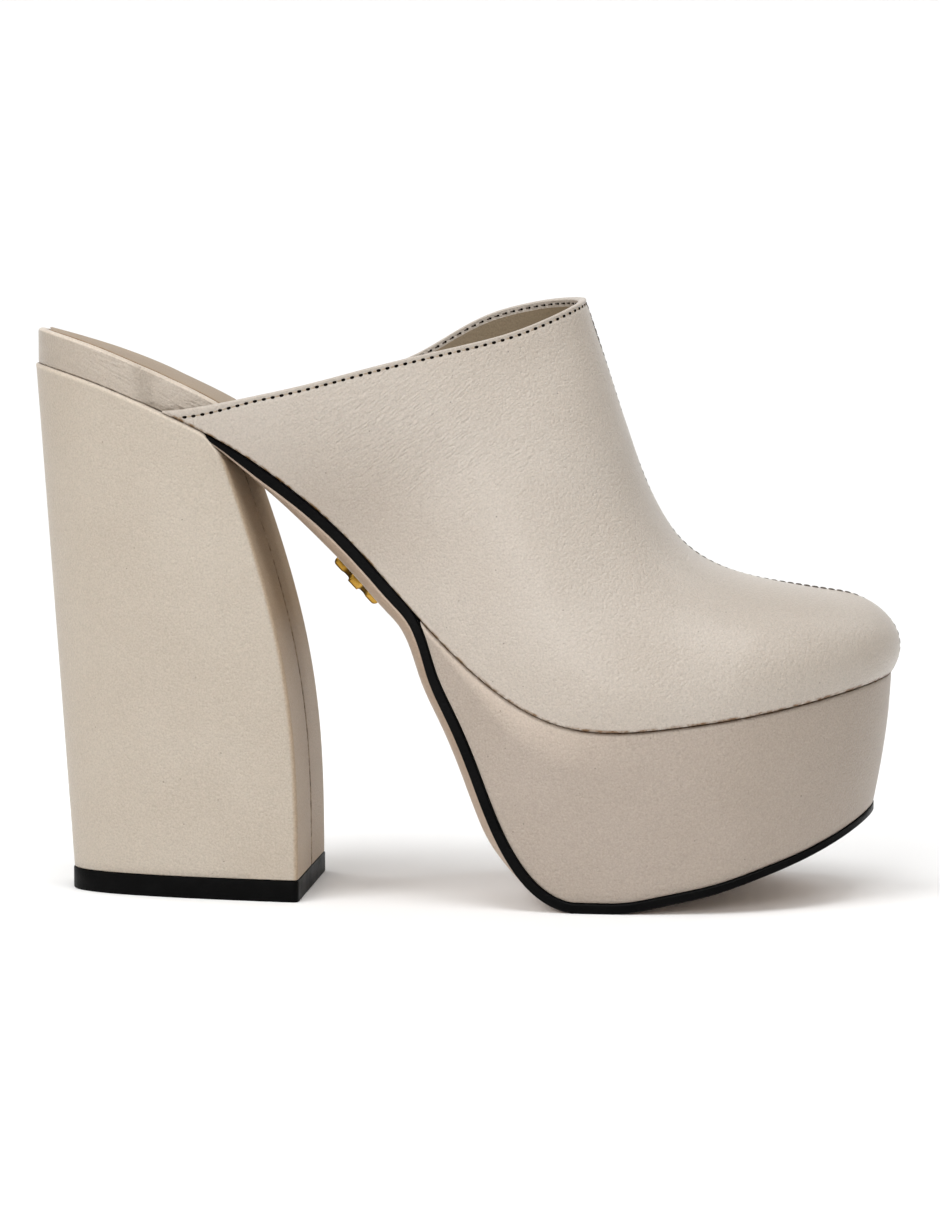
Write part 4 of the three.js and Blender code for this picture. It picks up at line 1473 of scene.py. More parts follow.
def arc(steps: int) -> list[tuple[float, float]]:
    """Steps of a quarter round, as shares of its radius.

    Args:
        steps: how many steps it has.

    Returns:
        Pairs, of which the first falls from 1 to 0 and the second climbs from 0 to 1.
    """
    angles = [math.pi / 2 * k / steps for k in range(steps + 1)]
    return [(1 - math.sin(a), 1 - math.cos(a)) for a in angles]


@dataclass
class Insole:
    """The wrapped board, whose rim shows behind the upper, and the thin leather sock glued to it."""

    seat_thickness: float = 9.2
    fore_thickness: float = 3.6
    inset: float = INSOLE_INSET
    edge_width: float = 2.2
    ridge_round: float = 1.3
    recess: float = 1.2
    wall: float = 2.0
    sock_thickness: float = 1.1
    sock_clearance: float = 0.35
    sock_crown: float = 0.4
    turns: int = 240
    taper: tuple = (
        (0.0, 1.0),
        (0.16, 1.0),
        (0.25, 0.95),
        (0.36, 0.55),
        (0.48, 0.15),
        (0.58, 0.0),
        (1.0, 0.0),
    )

    def seat(self, x: Array) -> Array:
        """How much of the seat's thickness is left."""
        return np.clip(table(self.taper, 1)(x / LAST.length), 0, 1)

    def thickness(self, x: Array) -> Array:
        """The board's thickness."""
        return mix(self.fore_thickness, self.seat_thickness, self.seat(x))

    def edge(self, x: Array) -> Array:
        """How far the board stands inside the outline."""
        inside = self.wall + 2 * GAP
        return mix(self.inset, inside, ease(LAST.corner - 8, LAST.corner - 1.5, x))

    def ring(self, inset: Callable, height: Callable, share: float = 1.0) -> Array:
        """One ring of a slab.

        Args:
            inset: how far it is drawn in, from x.
            height: its height, from x.
            share: how much of the width is kept.

        Returns:
            The ring's points.
        """
        number = np.arange(2 * self.turns)
        if share == 0:
            number = np.where(number > self.turns, 2 * self.turns - number, number)
        x, y = LAST.loop(number / (2 * self.turns), inset)
        return np.stack([x, mix(LAST.centre(x), y, share), height(x)], -1)

    def build(self, bench: Bench) -> None:
        """Makes the board and the sock.

        Args:
            bench: where they are made.
        """
        floor = LAST.feather_height

        def top(drop: float) -> Callable:
            """The board's top, lowered by a drop."""
            return lambda x: floor(x) + self.thickness(x) - drop

        def drawn(extra: float) -> Callable:
            """The board's edge, drawn in by a further inset."""
            return lambda x: self.edge(x) + extra

        radius, width = self.ridge_round, self.edge_width
        rings = [self.ring(self.edge, floor, 0), self.ring(drawn(1.0), floor)]
        for turn in (0.4, 0.8, 1.0):
            rise = 0.3 * (1 - math.sqrt(1 - turn**2))
            rings.append(self.ring(drawn(0.3 * (1 - turn)), lambda x, rise=rise: floor(x) + rise))
        rings.append(self.ring(drawn(0), lambda x: floor(x) + 0.45 * self.thickness(x)))
        round_start = len(rings)
        for inward, dropped in arc(7):
            rings.append(self.ring(drawn(radius * dropped), top(radius * inward)))
        rings += [
            self.ring(drawn(width - 0.3), top(0.05)),
            self.ring(drawn(width + 0.25), top(0.35 * self.recess)),
            self.ring(drawn(width + 0.35), top(self.recess)),
            self.ring(self.edge, top(self.recess), 0),
        ]
        points, faces = levels_solid(rings)
        # The recess carries painted shade, and the rounded edge above it a painted highlight.
        dark = np.zeros((len(rings), 2 * self.turns))
        dark[-3:] = 0.8
        painted_edge_highlight = np.zeros_like(dark)
        painted_edge_highlight[round_start + 2 : -3] = 1
        joined = 0.6 * (1 - ease(0.05, 0.35, points[:, 2] - floor(points[:, 0])))
        bench.solid(
            "insole_wrap",
            points,
            faces,
            Finish.STRIP.material,
            ["insole"],
            crisp=50,
            marks={
                "crease": 0.2 + 0.8 * ease(6, 30, points[:, 0]),
                "edge": np.maximum(joined, dark.reshape(-1)),
                "painted_light": painted_edge_highlight.reshape(-1),
            },
        )
        self.build_sock(bench, drawn)

    def build_sock(self, bench: Bench, drawn: Callable) -> None:
        """Makes the sock.

        Args:
            bench: where it is made.
            drawn: gives the board's edge, drawn in by a further inset.
        """

        def base(x: Array) -> Array:
            """The bed that the sock lies on."""
            return LAST.feather_height(x) + self.thickness(x) - self.recess + 0.02

        def up(rise: float, share: float = 0.0) -> Callable:
            """A height over the bed, with a share of the crown."""
            return lambda x: base(x) + rise + share * self.sock_crown * self.seat(x)

        border = self.edge_width + self.sock_clearance
        thick = self.sock_thickness + GAP
        rings = [
            self.ring(drawn(border), base, 0),
            self.ring(drawn(border), base),
            self.ring(drawn(border), up(0.55 * thick)),
            self.ring(drawn(border + 0.12), up(0.8 * thick)),
            self.ring(drawn(border + 0.4), up(0.96 * thick)),
            self.ring(drawn(border + 0.9), up(thick)),
            self.ring(drawn(border), up(thick, 0.5), 0.75),
            self.ring(drawn(border), up(thick, 0.85), 0.45),
            self.ring(drawn(border), up(thick, 1.0), 0),
        ]
        points, faces = levels_solid(rings)
        # The sock's cut rim is painted darker than its face, as painted shade along the recess.
        above = points[:, 2] - base(points[:, 0])
        rim = 1 - ease(0.82 * thick, 0.97 * thick, above)
        bench.solid("sock_lining", points, faces, Finish.SOCK.material, ["sock"], 50, {"edge": rim})


@dataclass
class Sole:
    """The platform and the outsole, which share one path: down the waist, behind and under the platform."""

    start: float = 42.0
    branch: float = 99.5
    tread_start: float = 140.0
    tread_end: float = 150.0
    tread_spring: float = 21.0
    waist_thickness: float = 3.2
    tread_thickness: float = 2.4
    toe_thickness: float = 1.9
    end_thickness: float = 0.8
    end_taper: float = 22.0
    crown: float = 2.6
    crown_width: float = 9.0
    crown_from: float = 8.0
    crown_to: float = 40.0
    crown_fade: float = 0.1
    crown_end: float = 0.02
    black_share: float = 0.8
    hidden_inset: float = 2.0
    hidden_from: float = 3.5
    hidden_to: float = 6.5
    lean_fade: float = 20.0
    platform_start: float = 101.5
    toe_rake: float = 4.2
    side_rake: float = 1.8
    edge_round: float = 1.4
    top_setback: float = 0.3
    turns: int = 170
    back: tuple = ((0.152, 0.22), (0.262, 0.352), (0.387, 0.51), (0.665, 0.86), (0.765, 0.93), (0.88, 0.978))
    tread: tuple = ((0.19, 0.095), (0.36, 0.21), (0.54, 0.385), (0.72, 0.585), (0.88, 0.805))

    def __post_init__(self) -> None:
        """Lays the path of the outsole's upper face."""
        self.toe = LAST.length - self.toe_rake
        waist = [(x, float(LAST.feather_height(x)) - GAP) for x in np.linspace(self.start, self.branch, 14)]
        high = waist[-1][1]
        drop = high - self.tread_thickness
        behind = [(mix(self.branch, self.tread_start, a), high - b * drop) for a, b in self.back]
        flat = [(x, self.tread_thickness) for x in np.linspace(self.tread_start, self.tread_end, 3)]
        climb = [
            (mix(self.tread_end, self.toe, a), self.tread_thickness + b * self.tread_spring)
            for a, b in (*self.tread, (1.0, 1.0))
        ]
        self.path = Path([*waist, *behind, *flat, *climb])
        self.branch_share = self.path.share_of(len(waist) - 1)
        self.flat_share = self.path.share_of(len(waist) + len(behind))

    def spot(self, share: Array) -> tuple[Array, Array]:
        """A point of the path, kept from dipping below its flat."""
        x, z = self.path.at(share)
        return x, np.maximum(z, self.tread_thickness)

    def share_at(self, x: float) -> float:
        """The share of the path where it reaches x."""
        shares = np.linspace(0, 1, 4001)
        return float(np.interp(x, self.path.at(shares)[0], shares))

    def thickness(self, share: Array) -> Array:
        """The outsole's thickness.

        Args:
            share: shares of the path.

        Returns:
            The thickness at each.
        """
        x = self.path.at(share)[0]
        tuck = ease(self.start, self.start + self.end_taper, x)
        tread = ease(self.branch_share - 0.02, self.branch_share + 0.06, share)
        fore = mix(self.tread_thickness, self.toe_thickness, ease(self.tread_end, self.toe, x))
        return mix(self.end_thickness, mix(self.waist_thickness, fore, tread), tuck)

    def swell(self, share: Array) -> Array:
        """How far the underside swells at its middle.

        Args:
            share: shares of the path.

        Returns:
            The swell at each.
        """
        x = self.path.at(share)[0]
        end = self.flat_share - self.crown_end
        fade = 1 - ease(end - self.crown_fade, end, share)
        return self.crown * ease(self.start + self.crown_from, self.start + self.crown_to, x) * fade

    def black(self, share: Array) -> Array:
        """The share of the thickness that is painted black: most at the waist, all at the tread."""
        return mix(self.black_share, 1.0, ease(self.branch_share, self.branch_share + 0.1, share))

    def over(self, x: Array) -> Array:
        """The place on the last's plan above a place on the tread."""
        rake = np.clip((x - self.branch) / (self.toe - self.branch), 0, 1) * self.toe_rake
        return np.minimum(LAST.length, x + rake)

    def half(self, over: Array, x: Array, sunk: float) -> Array:
        """Half the width at a depth, from 0 at the feather line to 1 at the tread."""
        rake = self.side_rake * sunk * ease(self.branch, self.tread_start, x)
        return LAST.half_width(over) * (1 - rake / (0.5 * LAST.ball_width))

    def shares(self, start: float, folded: bool) -> tuple[Array, Array]:
        """The shares and sides of one ring round the toe.

        Args:
            start: the share at which the piece starts.
            folded: whether both sides run on one.

        Returns:
            The share and the side, -1 or 1, of each point.
        """
        turn = np.arange(-self.turns, self.turns + 1) / self.turns
        if folded:
            turn = np.abs(turn)
        return mix(start, 1, np.cos(turn * math.pi / 2)), np.sign(turn)

    def outsole_ring(self, depth: Callable, inset: float, width: float = 1.0) -> Array:
        """One ring of the outsole.

        Args:
            depth: how far below the path, from the share.
            inset: how far inside its edge.
            width: 0 closes the ring to its middle line.

        Returns:
            The ring's points.
        """
        share, side = self.shares(0, width == 0)
        x, z = self.spot(share)
        ax, az = self.path.along(share)
        down = depth(share)
        over = self.over(x)
        half = self.half(over, x, 1)
        hidden = self.hidden_inset * (1 - ease(self.start + self.hidden_from, self.start + self.hidden_to, x))
        kept = np.maximum(0, half - inset - hidden) * width
        lean = az * (1 - ease(self.tread_end, self.tread_end + self.lean_fade, x))
        low = np.maximum(0, z - down * ax)
        return np.stack([x + down * lean, LAST.centre(over) + side * kept, low], -1)

    def platform_ring(self, sunk: Callable | float, inset: float, width: float = 1.0) -> Array:
        """One ring of the platform.

        Args:
            sunk: the depth from 0 at its top to 1 at its bottom, or a function of its height.
            inset: how far inside its edge.
            width: 0 closes the ring to its middle line.

        Returns:
            The ring's points.
        """
        share, side = self.shares(self.share_at(self.platform_start), width == 0)
        x, z = self.spot(share)
        ax, az = self.path.along(share)
        bottom_x, bottom_z = x - GAP * az, z + GAP * ax
        over = self.over(x)
        top_z = LAST.feather_height(over) - SEEN_GAP
        depth = sunk(top_z - bottom_z) if callable(sunk) else np.full_like(x, sunk)
        curve = depth**1.6
        half = mix(self.half(over, over, 0), self.half(over, x, 1), curve)
        kept = np.maximum(0, half - self.top_setback - inset) * width
        y = LAST.centre(over) + side * kept
        return np.stack([mix(over, bottom_x, curve), y, mix(top_z, bottom_z, depth)], -1)

    def build(self, bench: Bench) -> None:
        """Makes the platform, the outsole and its leather underside.

        Args:
            bench: where they are made.
        """
        self.build_platform(bench)
        self.build_outsole(bench)

    def build_platform(self, bench: Bench) -> None:
        """Makes the covered platform with its rounded top edge.

        Args:
            bench: where it is made.
        """
        radius = self.edge_round
        rings = [self.platform_ring(0.0, 0, 0), self.platform_ring(0.0, radius + 1)]

        def rounded(dropped: float) -> Callable:
            """A depth on the rounded edge, from the platform's height."""
            return lambda tall: dropped * np.minimum(0.25, radius / tall)

        rings += [self.platform_ring(rounded(dropped), radius * inward) for inward, dropped in arc(8)]
        rings += [self.platform_ring(float(level), 0) for level in np.linspace(0.26, 0.985, 16)]
        rings += [self.platform_ring(1.0, 0.35), self.platform_ring(1.0, 0, 0)]
        points, faces = levels_solid(rings)
        below = LAST.feather_height(points[:, 0]) - points[:, 2]
        # A painted highlight on the rounded top edge, over the back part only.
        painted_edge_highlight = np.exp(-(((below - 1.3) / 0.7) ** 2)) * (1 - ease(120, 165, points[:, 0]))
        bench.solid(
            "platform_cover",
            points,
            faces,
            Finish.COVER.material,
            ["platform"],
            crisp=50,
            marks={"crease": np.full(len(points), 0.05), "edge": self.joining(points), "painted_light": painted_edge_highlight},
        )

    def joining(self, points: Array) -> Array:
        """Where cement shows on the platform: right under the upper."""
        below = LAST.feather_height(points[:, 0]) - SEEN_GAP - points[:, 2]
        return 0.8 * (1 - ease(0.1, 0.45, below))

    def build_outsole(self, bench: Bench) -> None:
        """Makes the black-edged outsole and the leather face under it.

        Args:
            bench: where they are made.
        """

        def depth(part: float, swell: float = 0.0) -> Callable:
            """A depth, from the share of the path.

            Args:
                part: up to 1 a share of the black edge, and beyond 1 a share of what is left.
                swell: a share of the swell.

            Returns:
                The depth as a function of the share.
            """

            def at(share: Array) -> Array:
                """The depth at each share."""
                black = self.black(share)
                level = black * min(part, 1) + (1 - black) * max(part - 1, 0)
                return level * self.thickness(share) + swell * self.swell(share)

            return at

        rings = [self.outsole_ring(depth(0), 0, 0), self.outsole_ring(depth(0), 0.25)]
        rings += [self.outsole_ring(depth(level), 0) for level in (0.12, 0.5, 0.9)]
        rings += [self.outsole_ring(depth(1), 0.3), self.outsole_ring(depth(0.96), 1.2)]
        rings.append(self.outsole_ring(depth(0.96), 0, 0))
        points, faces = levels_solid(rings)
        bench.solid("outsole_edge", points, faces, Finish.EDGE.material, ["outsole"], crisp=35)
        # The leather face closes the sole from below, with its swell.
        bevel = [(0.05, 0.1), (0.12, 0.25), (0.25, 0.48), (0.45, 0.75), (0.7, 0.93), (1.0, 1.0)]
        cover = [self.outsole_ring(depth(0.7), 0, 0), self.outsole_ring(depth(0.7), 0.6)]
        cover += [self.outsole_ring(depth(1.1), 0.35), self.outsole_ring(depth(1.7), 0.3)]
        cover += [self.outsole_ring(depth(2, s), 0.45 + w * self.crown_width) for w, s in bevel]
        cover.append(self.outsole_ring(depth(2, 1), 0, 0))
        points, faces = levels_solid(cover)
        bench.solid("sole_face", points, faces, Finish.UNDER.material, crisp=50)


@dataclass
class Heel:
    """The covered heel with its rounded top edge and seamed breast, and the lift under it."""

    foot_length: float = 61.9
    foot_width: float = 55.5
    back_rake: float = 8.9
    seat_proud: float = 0.5
    breast_sweep: float = 18.9
    back_power: float = 1 / 3
    corner: float = 1.8
    top_round: float = 0.9
    lift_thickness: float = 5.4
    lift_lip: float = 0.2
    seam_depth: float = 0.6
    seam_width: float = 0.5
    # The breast's points to one side of its seam, in twentieths of its half width.
    breast_spots: tuple = (0, 0.12, 0.25, 0.4, 0.6, 0.9, 1.4, 3, 6, 10, 15)
    turns: int = 90
    levels: int = 60

    def side(self, turn: Array, level: float, lip: float) -> Array:
        """Points round the sides and back, from -1 to 1 at the breast's two corners.

        Args:
            turn: where the points are, 0 at the back.
            level: 0 at the foot and 1 at the seat.
            lip: how far the ring stands out.

        Returns:
            X and Y of each point.
        """
        foot = self.back_rake - self.seat_proud + self.foot_length
        back = self.back_rake * (1 - level) - self.seat_proud - lip
        breast = foot - self.breast_sweep * level**3 + lip
        along = 1 - np.cos(turn * math.pi / 2)
        seat_x = mix(0, foot - self.breast_sweep, along)
        half = mix(0.5 * self.foot_width * along**self.back_power, LAST.half_width(seat_x), level)
        half = half + np.where(along > 0, lip, 0)
        return np.stack([mix(back, breast, along), level * LAST.centre(seat_x) + np.sign(turn) * half], -1)

    def ring(
        self, level: float, height: Callable, inset: float = 0.0, lip: float = 0.0, width: float = 1.0
    ) -> Array:
        """One ring of the heel, with rounded front corners and the breast's seam.

        Args:
            level: 0 at the foot and 1 at the seat.
            height: its height, from x.
            inset: how far it is drawn in.
            lip: how far it stands out.
            width: how much of the ring is kept, towards its middle.

        Returns:
            The ring's points.
        """
        turn = np.linspace(-1, 1, 2 * self.turns + 1)
        turn = np.sign(turn) * np.abs(turn) ** 1.15
        side = self.side(turn, level, lip)
        outer, inner = side[0], side[-1]
        radius = self.corner
        clear = [np.linalg.norm(side - corner, axis=1) > radius for corner in (outer, inner)]
        keep = side[clear[0] & clear[1]]

        def rounded(corner: Array, start: Array, end: Array) -> Array:
            """A curve that cuts a corner off between two points."""
            t = np.linspace(0, 1, 7)[:, None]
            return (1 - t) ** 2 * start + 2 * t * (1 - t) * corner + t**2 * end

        def away(corner: Array, other: Array) -> Array:
            """The point one radius from the corner towards another."""
            step = other - corner
            return corner + step * radius / np.linalg.norm(step)

        first = rounded(outer, away(outer, inner), away(outer, keep[0]))
        last = rounded(inner, away(inner, keep[-1]), away(inner, outer))
        count = 2 * self.turns + 1
        run = np.concatenate([[0], np.cumsum(np.linalg.norm(np.diff(keep, axis=0), axis=1))])
        even = np.linspace(0, run[-1], count)
        keep = np.stack([np.interp(even, run, keep[:, 0]), np.interp(even, run, keep[:, 1])], -1)
        middle = (outer[1] + inner[1]) / 2
        inner_run = last[-1][1] - middle
        apart = np.array(self.breast_spots) * inner_run / 20
        breast_x = outer[0]
        right = np.stack([np.full(len(apart), breast_x), middle + apart[::-1]], -1)
        left = np.stack([np.full(len(apart) - 1, breast_x), middle - apart[1:]], -1)
        ring = np.vstack([first, keep, last, right, left])
        ahead = np.roll(ring, -1, axis=0) - np.roll(ring, 1, axis=0)
        outward = np.stack([ahead[:, 1], -ahead[:, 0]], -1)
        outward /= np.linalg.norm(outward, axis=1, keepdims=True)
        if outward[len(first) + len(keep) // 2, 0] > 0:
            outward = -outward
        ring = ring - inset * outward
        on_breast = np.arange(len(ring)) >= len(first) + len(keep) + len(last) - 1
        seam = np.where(on_breast, np.exp(-(((ring[:, 1] - middle) / self.seam_width) ** 2)), 0)
        x = ring[:, 0] - self.seam_depth * seam * (0.0 if lip else 1.0)
        return np.stack([x, ring[:, 1] * width, height(ring[:, 0])], -1)

    def marks(self, points: Array, rim: Callable, foot: float) -> dict:
        """Where the cover shows creases, cement and a stained seam, and painted light.

        It carries a painted highlight along its top edge and painted shade over the breast, whose seam is
        stained.

        Args:
            points: the cover's points.
            rim: gives the height of its wall's top, from x.
            foot: the height of its foot.

        Returns:
            The strength at each point, by the mark's name.
        """
        x, y, z = points[:, 0], points[:, 1], points[:, 2]
        level = (z - foot) / (rim(x) - foot)
        front = self.back_rake - self.seat_proud + self.foot_length
        breast = front - self.breast_sweep * level**3
        ahead = ease(-1.2, -0.5, x - breast)
        # A painted highlight along the rounded top edge.
        painted_edge_highlight = 0.8 * np.exp(-(((z - rim(x) + 0.75) / 0.4) ** 2))
        seam = y - level * LAST.centre(np.full_like(x, front - self.breast_sweep))
        stained = ahead * np.exp(-((seam / 0.8) ** 2))
        cement = 0.6 * ease(-0.25, -0.02, z - LAST.feather_height(x) + SEEN_GAP)
        return {
            "crease": np.full(len(points), 0.3),
            "edge": np.maximum(cement, stained),
            # Painted highlight on the top edge, and painted shade over the breast, deepest near its top.
            "painted_light": painted_edge_highlight * (1 - ahead) - ahead * (0.87 + 0.13 * ease(0.4, 0.7, level)),
        }

    def build(self, bench: Bench, sole: Sole) -> None:
        """Makes the heel and its lift.

        Args:
            bench: where they are made.
            sole: the sole that its top meets.
        """

        def top(x: Array) -> Array:
            """The heel's top: the insole's seat, and then the outsole's tucked end.

            Args:
                x: places along the foot.

            Returns:
                The height at each.
            """
            seat = LAST.feather_height(x) - GAP
            share = np.interp(x, sole.path.at(np.linspace(0, 1, 2001))[0], np.linspace(0, 1, 2001))
            under = sole.thickness(share) / sole.path.along(share)[0] + 1.6 * GAP
            return seat - under * ease(sole.start - 4, sole.start - 0.5, x)

        def rim(x: Array) -> Array:
            """The top of the cover's wall, which hides the outsole's tucked end up to the front corner."""
            seat = LAST.feather_height(x) - SEEN_GAP
            return mix(seat, top(x) - 0.1, ease(sole.start + 4, sole.start + 9, x))

        foot = self.lift_thickness + 0.12

        def between(level: float, drop: float = 0.0) -> Callable:
            """The height of a level."""
            return lambda x: mix(foot, rim(x), level) - drop

        def flat(z: float) -> Callable:
            """The same height everywhere."""
            return lambda x: np.full_like(x, z)

        rings = [self.ring(0, flat(foot), width=0), self.ring(0, flat(foot), inset=0.25)]
        for level in np.linspace(0.002, 0.988, self.levels).tolist():
            rings.append(self.ring(level, between(level)))
        edge = self.top_round
        for inward, dropped in arc(6):
            rings.append(self.ring(1.0, between(1.0, edge * inward), inset=edge * dropped))
        rings.append(self.ring(1.0, between(1.0), inset=edge + 0.5))
        rings += [self.ring(1.0, top, inset=edge + 0.8, width=width) for width in (1.0, 0.5, 0.0)]
        points, faces = levels_solid([zipped(ring) for ring in rings])
        bench.solid(
            "heel_cover",
            points,
            faces,
            Finish.WRAP.material,
            ["heel"],
            crisp=50,
            marks=self.marks(points, rim, foot),
        )
        thick, lip = self.lift_thickness, self.lift_lip
        steps = ((0, 0.35), (0.1, 0.12), (0.35, 0), (thick - 0.3, 0), (thick - 0.08, 0.08), (thick, 0.3))
        rings = [self.ring(0, flat(0), lip=lip, width=0)]
        rings += [self.ring(0, flat(height), inset=inset, lip=lip) for height, inset in steps]
        rings.append(self.ring(0, flat(thick), lip=lip, width=0))
        points, faces = levels_solid([zipped(ring) for ring in rings])
        rubber = Finish.RUBBER.material
        bench.solid("heel_lift_rubber", points, faces, rubber, ["heel_lift"], crisp=35)


@dataclass
class SoleBar:
    """A plain plated bar under the waist: a tab with softened ends and a raised collar across its middle."""

    length: float = 15.6
    width: float = 6.0
    thickness: float = 2.6
    collar: float = 3.4
    collar_proud: float = 0.5
    collar_round: float = 0.12
    end_round: float = 1.2
    at: float = BAR_AT
    side_round: float = 0.5
    valley_depth: float = 0.22

    def valley(self, away: Array) -> Array:
        """1 in the two valleys between the collar and the end pads, and 0 on them."""
        rise = ease(0.5 * self.collar, 0.5 * self.collar + 0.5, away)
        return rise * (1 - ease(0.22 * self.length, 0.3 * self.length, away))

    def profile(self, inset: float) -> Array:
        """The bar's side view, drawn in by an inset: along it and out from the sole.

        Args:
            inset: how far it is drawn in.

        Returns:
            The outline's points.
        """
        half, neck = self.length / 2 - inset, self.collar / 2 - inset
        top = self.thickness - inset
        radius = self.end_round - 0.5 * inset
        quarter = [math.pi / 2 * k / 6 for k in range(7)]
        end = [(half - radius * (1 - math.cos(a)), top - radius * (1 - math.sin(a))) for a in quarter]
        soft, high = self.collar_round, top + self.collar_proud
        step = [(neck + soft, top), (neck, top + soft), (neck, high - soft), (neck - soft, high)]
        flats = np.linspace(half - radius - 0.2, neck + 0.3, 14)
        right = [*end, *[(x, top - self.valley_depth * float(self.valley(x))) for x in flats], *step]
        upper = np.array([*right, *[(-x, z) for x, z in right[::-1]]])
        lower = np.stack([upper[::-1, 0], np.full(len(upper), inset)], -1)
        return np.vstack([upper, lower])

    def build(self, bench: Bench, sole: Sole) -> None:
        """Makes the bar.

        Args:
            bench: where it is made.
            sole: the sole that it lies on.
        """
        share = np.array(sole.share_at(self.at))
        x, z = sole.path.at(share)
        ax, az = sole.path.along(share)
        depth = sole.thickness(share) + sole.swell(share) + 1.5 * GAP
        origin = np.array([x + depth * az, LAST.centre(x), z - depth * ax])
        along, out, across = np.array([ax, 0, az]), np.array([az, 0, -ax]), np.array([0, 1.0, 0])
        radius = self.side_round
        rings = []
        for sign in (-1, 1):
            steps = arc(4)[::-1] if sign < 0 else arc(4)
            for first, second in steps:
                shape = self.profile(radius * second)
                narrow = self.valley_depth * self.valley(np.abs(shape[:, :1]))
                side = sign * (self.width / 2 - radius * first - narrow)
                rings.append(origin + shape[:, :1] * along + shape[:, 1:] * out + side * across)
        middle = [(ring + ring[::-1]) / 2 for ring in (rings[0], rings[-1])]
        points, faces = levels_solid([middle[0], *rings, middle[1]])
        away = np.abs((points - origin) @ along)
        # Painted shade, a dark reflection, in the two valleys beside the collar.
        painted_shade = {"edge": 0.9 * self.valley(away)}
        bench.solid("plated_bar", points, faces, Finish.GOLD.material, ["sole_bar"], 30, painted_shade)


def zipped(ring: Array) -> Array:
    """A ring that has closed to a line is drawn in to one point at its middle.

    Args:
        ring: the ring's points.

    Returns:
        The ring, or as many copies of one point.
    """
    if np.any(np.abs(ring[:, 1]) > 1e-9):
        return ring
    x = ring[:, 0].mean()
    order = np.argsort(ring[:, 0])
    middle = [x, 0.0, np.interp(x, ring[order, 0], ring[order, 2])]
    return np.repeat([middle], len(ring), axis=0)


# The set


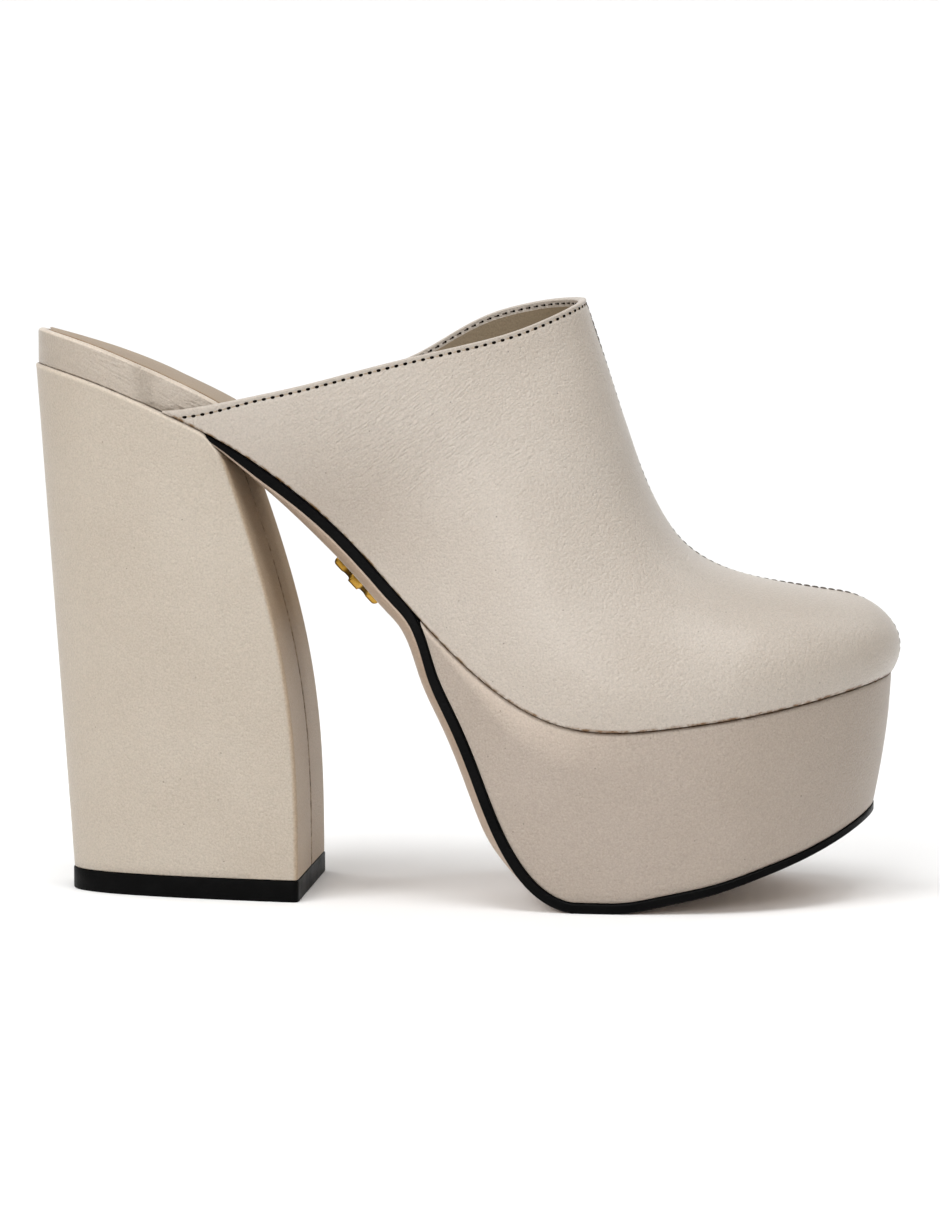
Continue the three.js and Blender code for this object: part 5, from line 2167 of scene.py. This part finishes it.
@dataclass
class Studio:
    """A pale floor, soft lights and the camera."""

    target: tuple = (111.7, 0.0, 73.0)
    azimuth: float = 4.4
    elevation: float = 3.3
    distance: float = 760.0
    pixels_per_mm: float = 3.87
    image_height: float = 1215.0
    sensor: float = 36.0

    def build(self) -> None:
        """Makes the floor, the lights and the camera."""
        self.build_camera()
        self.build_floor()
        self.build_lights()

    def build_camera(self) -> None:
        """Makes the camera at the photograph's angle."""
        data = bpy.data.cameras.new("camera")
        data.sensor_width = self.sensor
        data.lens = self.sensor * self.distance * self.pixels_per_mm / self.image_height
        data.clip_start = 0.01
        data.clip_end = 50
        camera = bpy.data.objects.new("camera", data)
        bpy.context.scene.collection.objects.link(camera)
        a, e = math.radians(self.azimuth), math.radians(self.elevation)
        back = Vector((math.sin(a) * math.cos(e), -math.cos(a) * math.cos(e), math.sin(e)))
        aim = Vector(((np.array(self.target) + SHIFT) * MM).tolist())
        camera.location = aim + back * self.distance * MM
        camera.rotation_mode = "QUATERNION"
        camera.rotation_quaternion = (-back).to_track_quat("-Z", "Y")
        bpy.context.scene.camera = camera

    def build_floor(self) -> None:
        """Makes the floor, which sweeps up behind the shoe."""
        front, back, rise, bend = -3.0, 1.2, 3.0, 1.2
        profile = [(front, 0.0), (back, 0.0)]
        for angle in np.linspace(0.1, math.pi / 2, 16):
            profile.append((back + bend * math.sin(angle), bend * (1 - math.cos(angle))))
        profile.append((back + bend, rise))
        points, faces = [], []
        for y, z in profile:
            points += [(-4.0, y, z), (4.0, y, z)]
        for k in range(len(profile) - 1):
            faces.append((2 * k, 2 * k + 1, 2 * k + 3, 2 * k + 2))
        mesh = bpy.data.meshes.new("floor")
        mesh.from_pydata(points, [], faces)
        mesh.polygons.foreach_set("use_smooth", [True] * len(faces))
        material = bpy.data.materials.new("white_paper_sweep")
        material.use_nodes = True
        shader = material.node_tree.nodes["Principled BSDF"]
        shader.inputs["Base Color"].default_value = colour("fbfbfb")
        shader.inputs["Roughness"].default_value = 0.9
        shader.inputs["Specular IOR Level"].default_value = 0.1
        mesh.materials.append(material)
        floor = bpy.data.objects.new("floor", mesh)
        bpy.context.scene.collection.objects.link(floor)

    def light(self, name: str, place: tuple, aim: tuple, size: float, power: float) -> None:
        """Adds a soft light.

        Args:
            name: its name.
            place: where it is, in metres.
            aim: what it faces, in metres.
            size: its side, in metres.
            power: its power, in watts.
        """
        data = bpy.data.lights.new(name, "AREA")
        data.shape = "SQUARE"
        data.size = size
        data.energy = power
        lamp = bpy.data.objects.new(name, data)
        lamp.location = place
        lamp.rotation_mode = "QUATERNION"
        lamp.rotation_quaternion = (Vector(aim) - Vector(place)).to_track_quat("-Z", "Y")
        bpy.context.scene.collection.objects.link(lamp)

    def build_lights(self) -> None:
        """Makes the soft lights and the pale surroundings."""
        shoe = (0.0, 0.0, 0.07)
        self.light("key", (-0.95, -0.95, 1.15), shoe, 0.9, 11)
        self.light("satin", (-0.25, -1.2, 0.47), shoe, 0.32, 3.2)
        self.light("top", (0.05, -0.45, 1.5), shoe, 0.9, 10.5)
        self.light("fill", (1.1, -0.65, 1.2), shoe, 1.0, 2.7)
        for side in (-1, 1):
            self.light(f"backdrop_{side + 1}", (1.2 * side, 0.9, 1.7), (0.0, 2.4, 0.5), 1.2, 14)
        world = bpy.data.worlds.new("pale_room")
        world.use_nodes = True
        world.node_tree.nodes["Background"].inputs["Color"].default_value = (1.0, 0.99, 0.97, 1)
        world.node_tree.nodes["Background"].inputs["Strength"].default_value = 0.3
        bpy.context.scene.world = world
        bpy.context.scene.view_settings.view_transform = "Standard"


def main() -> None:
    """Builds the shoe piece by piece, and then its set."""
    logging.basicConfig(level=logging.INFO, format="%(name)s: %(message)s")
    bench = Bench()
    sole = Sole()
    Upper().build(bench)
    Insole().build(bench)
    sole.build(bench)
    Heel().build(bench, sole)
    SoleBar().build(bench, sole)
    Studio().build()


if __name__ == "__main__":
    main()
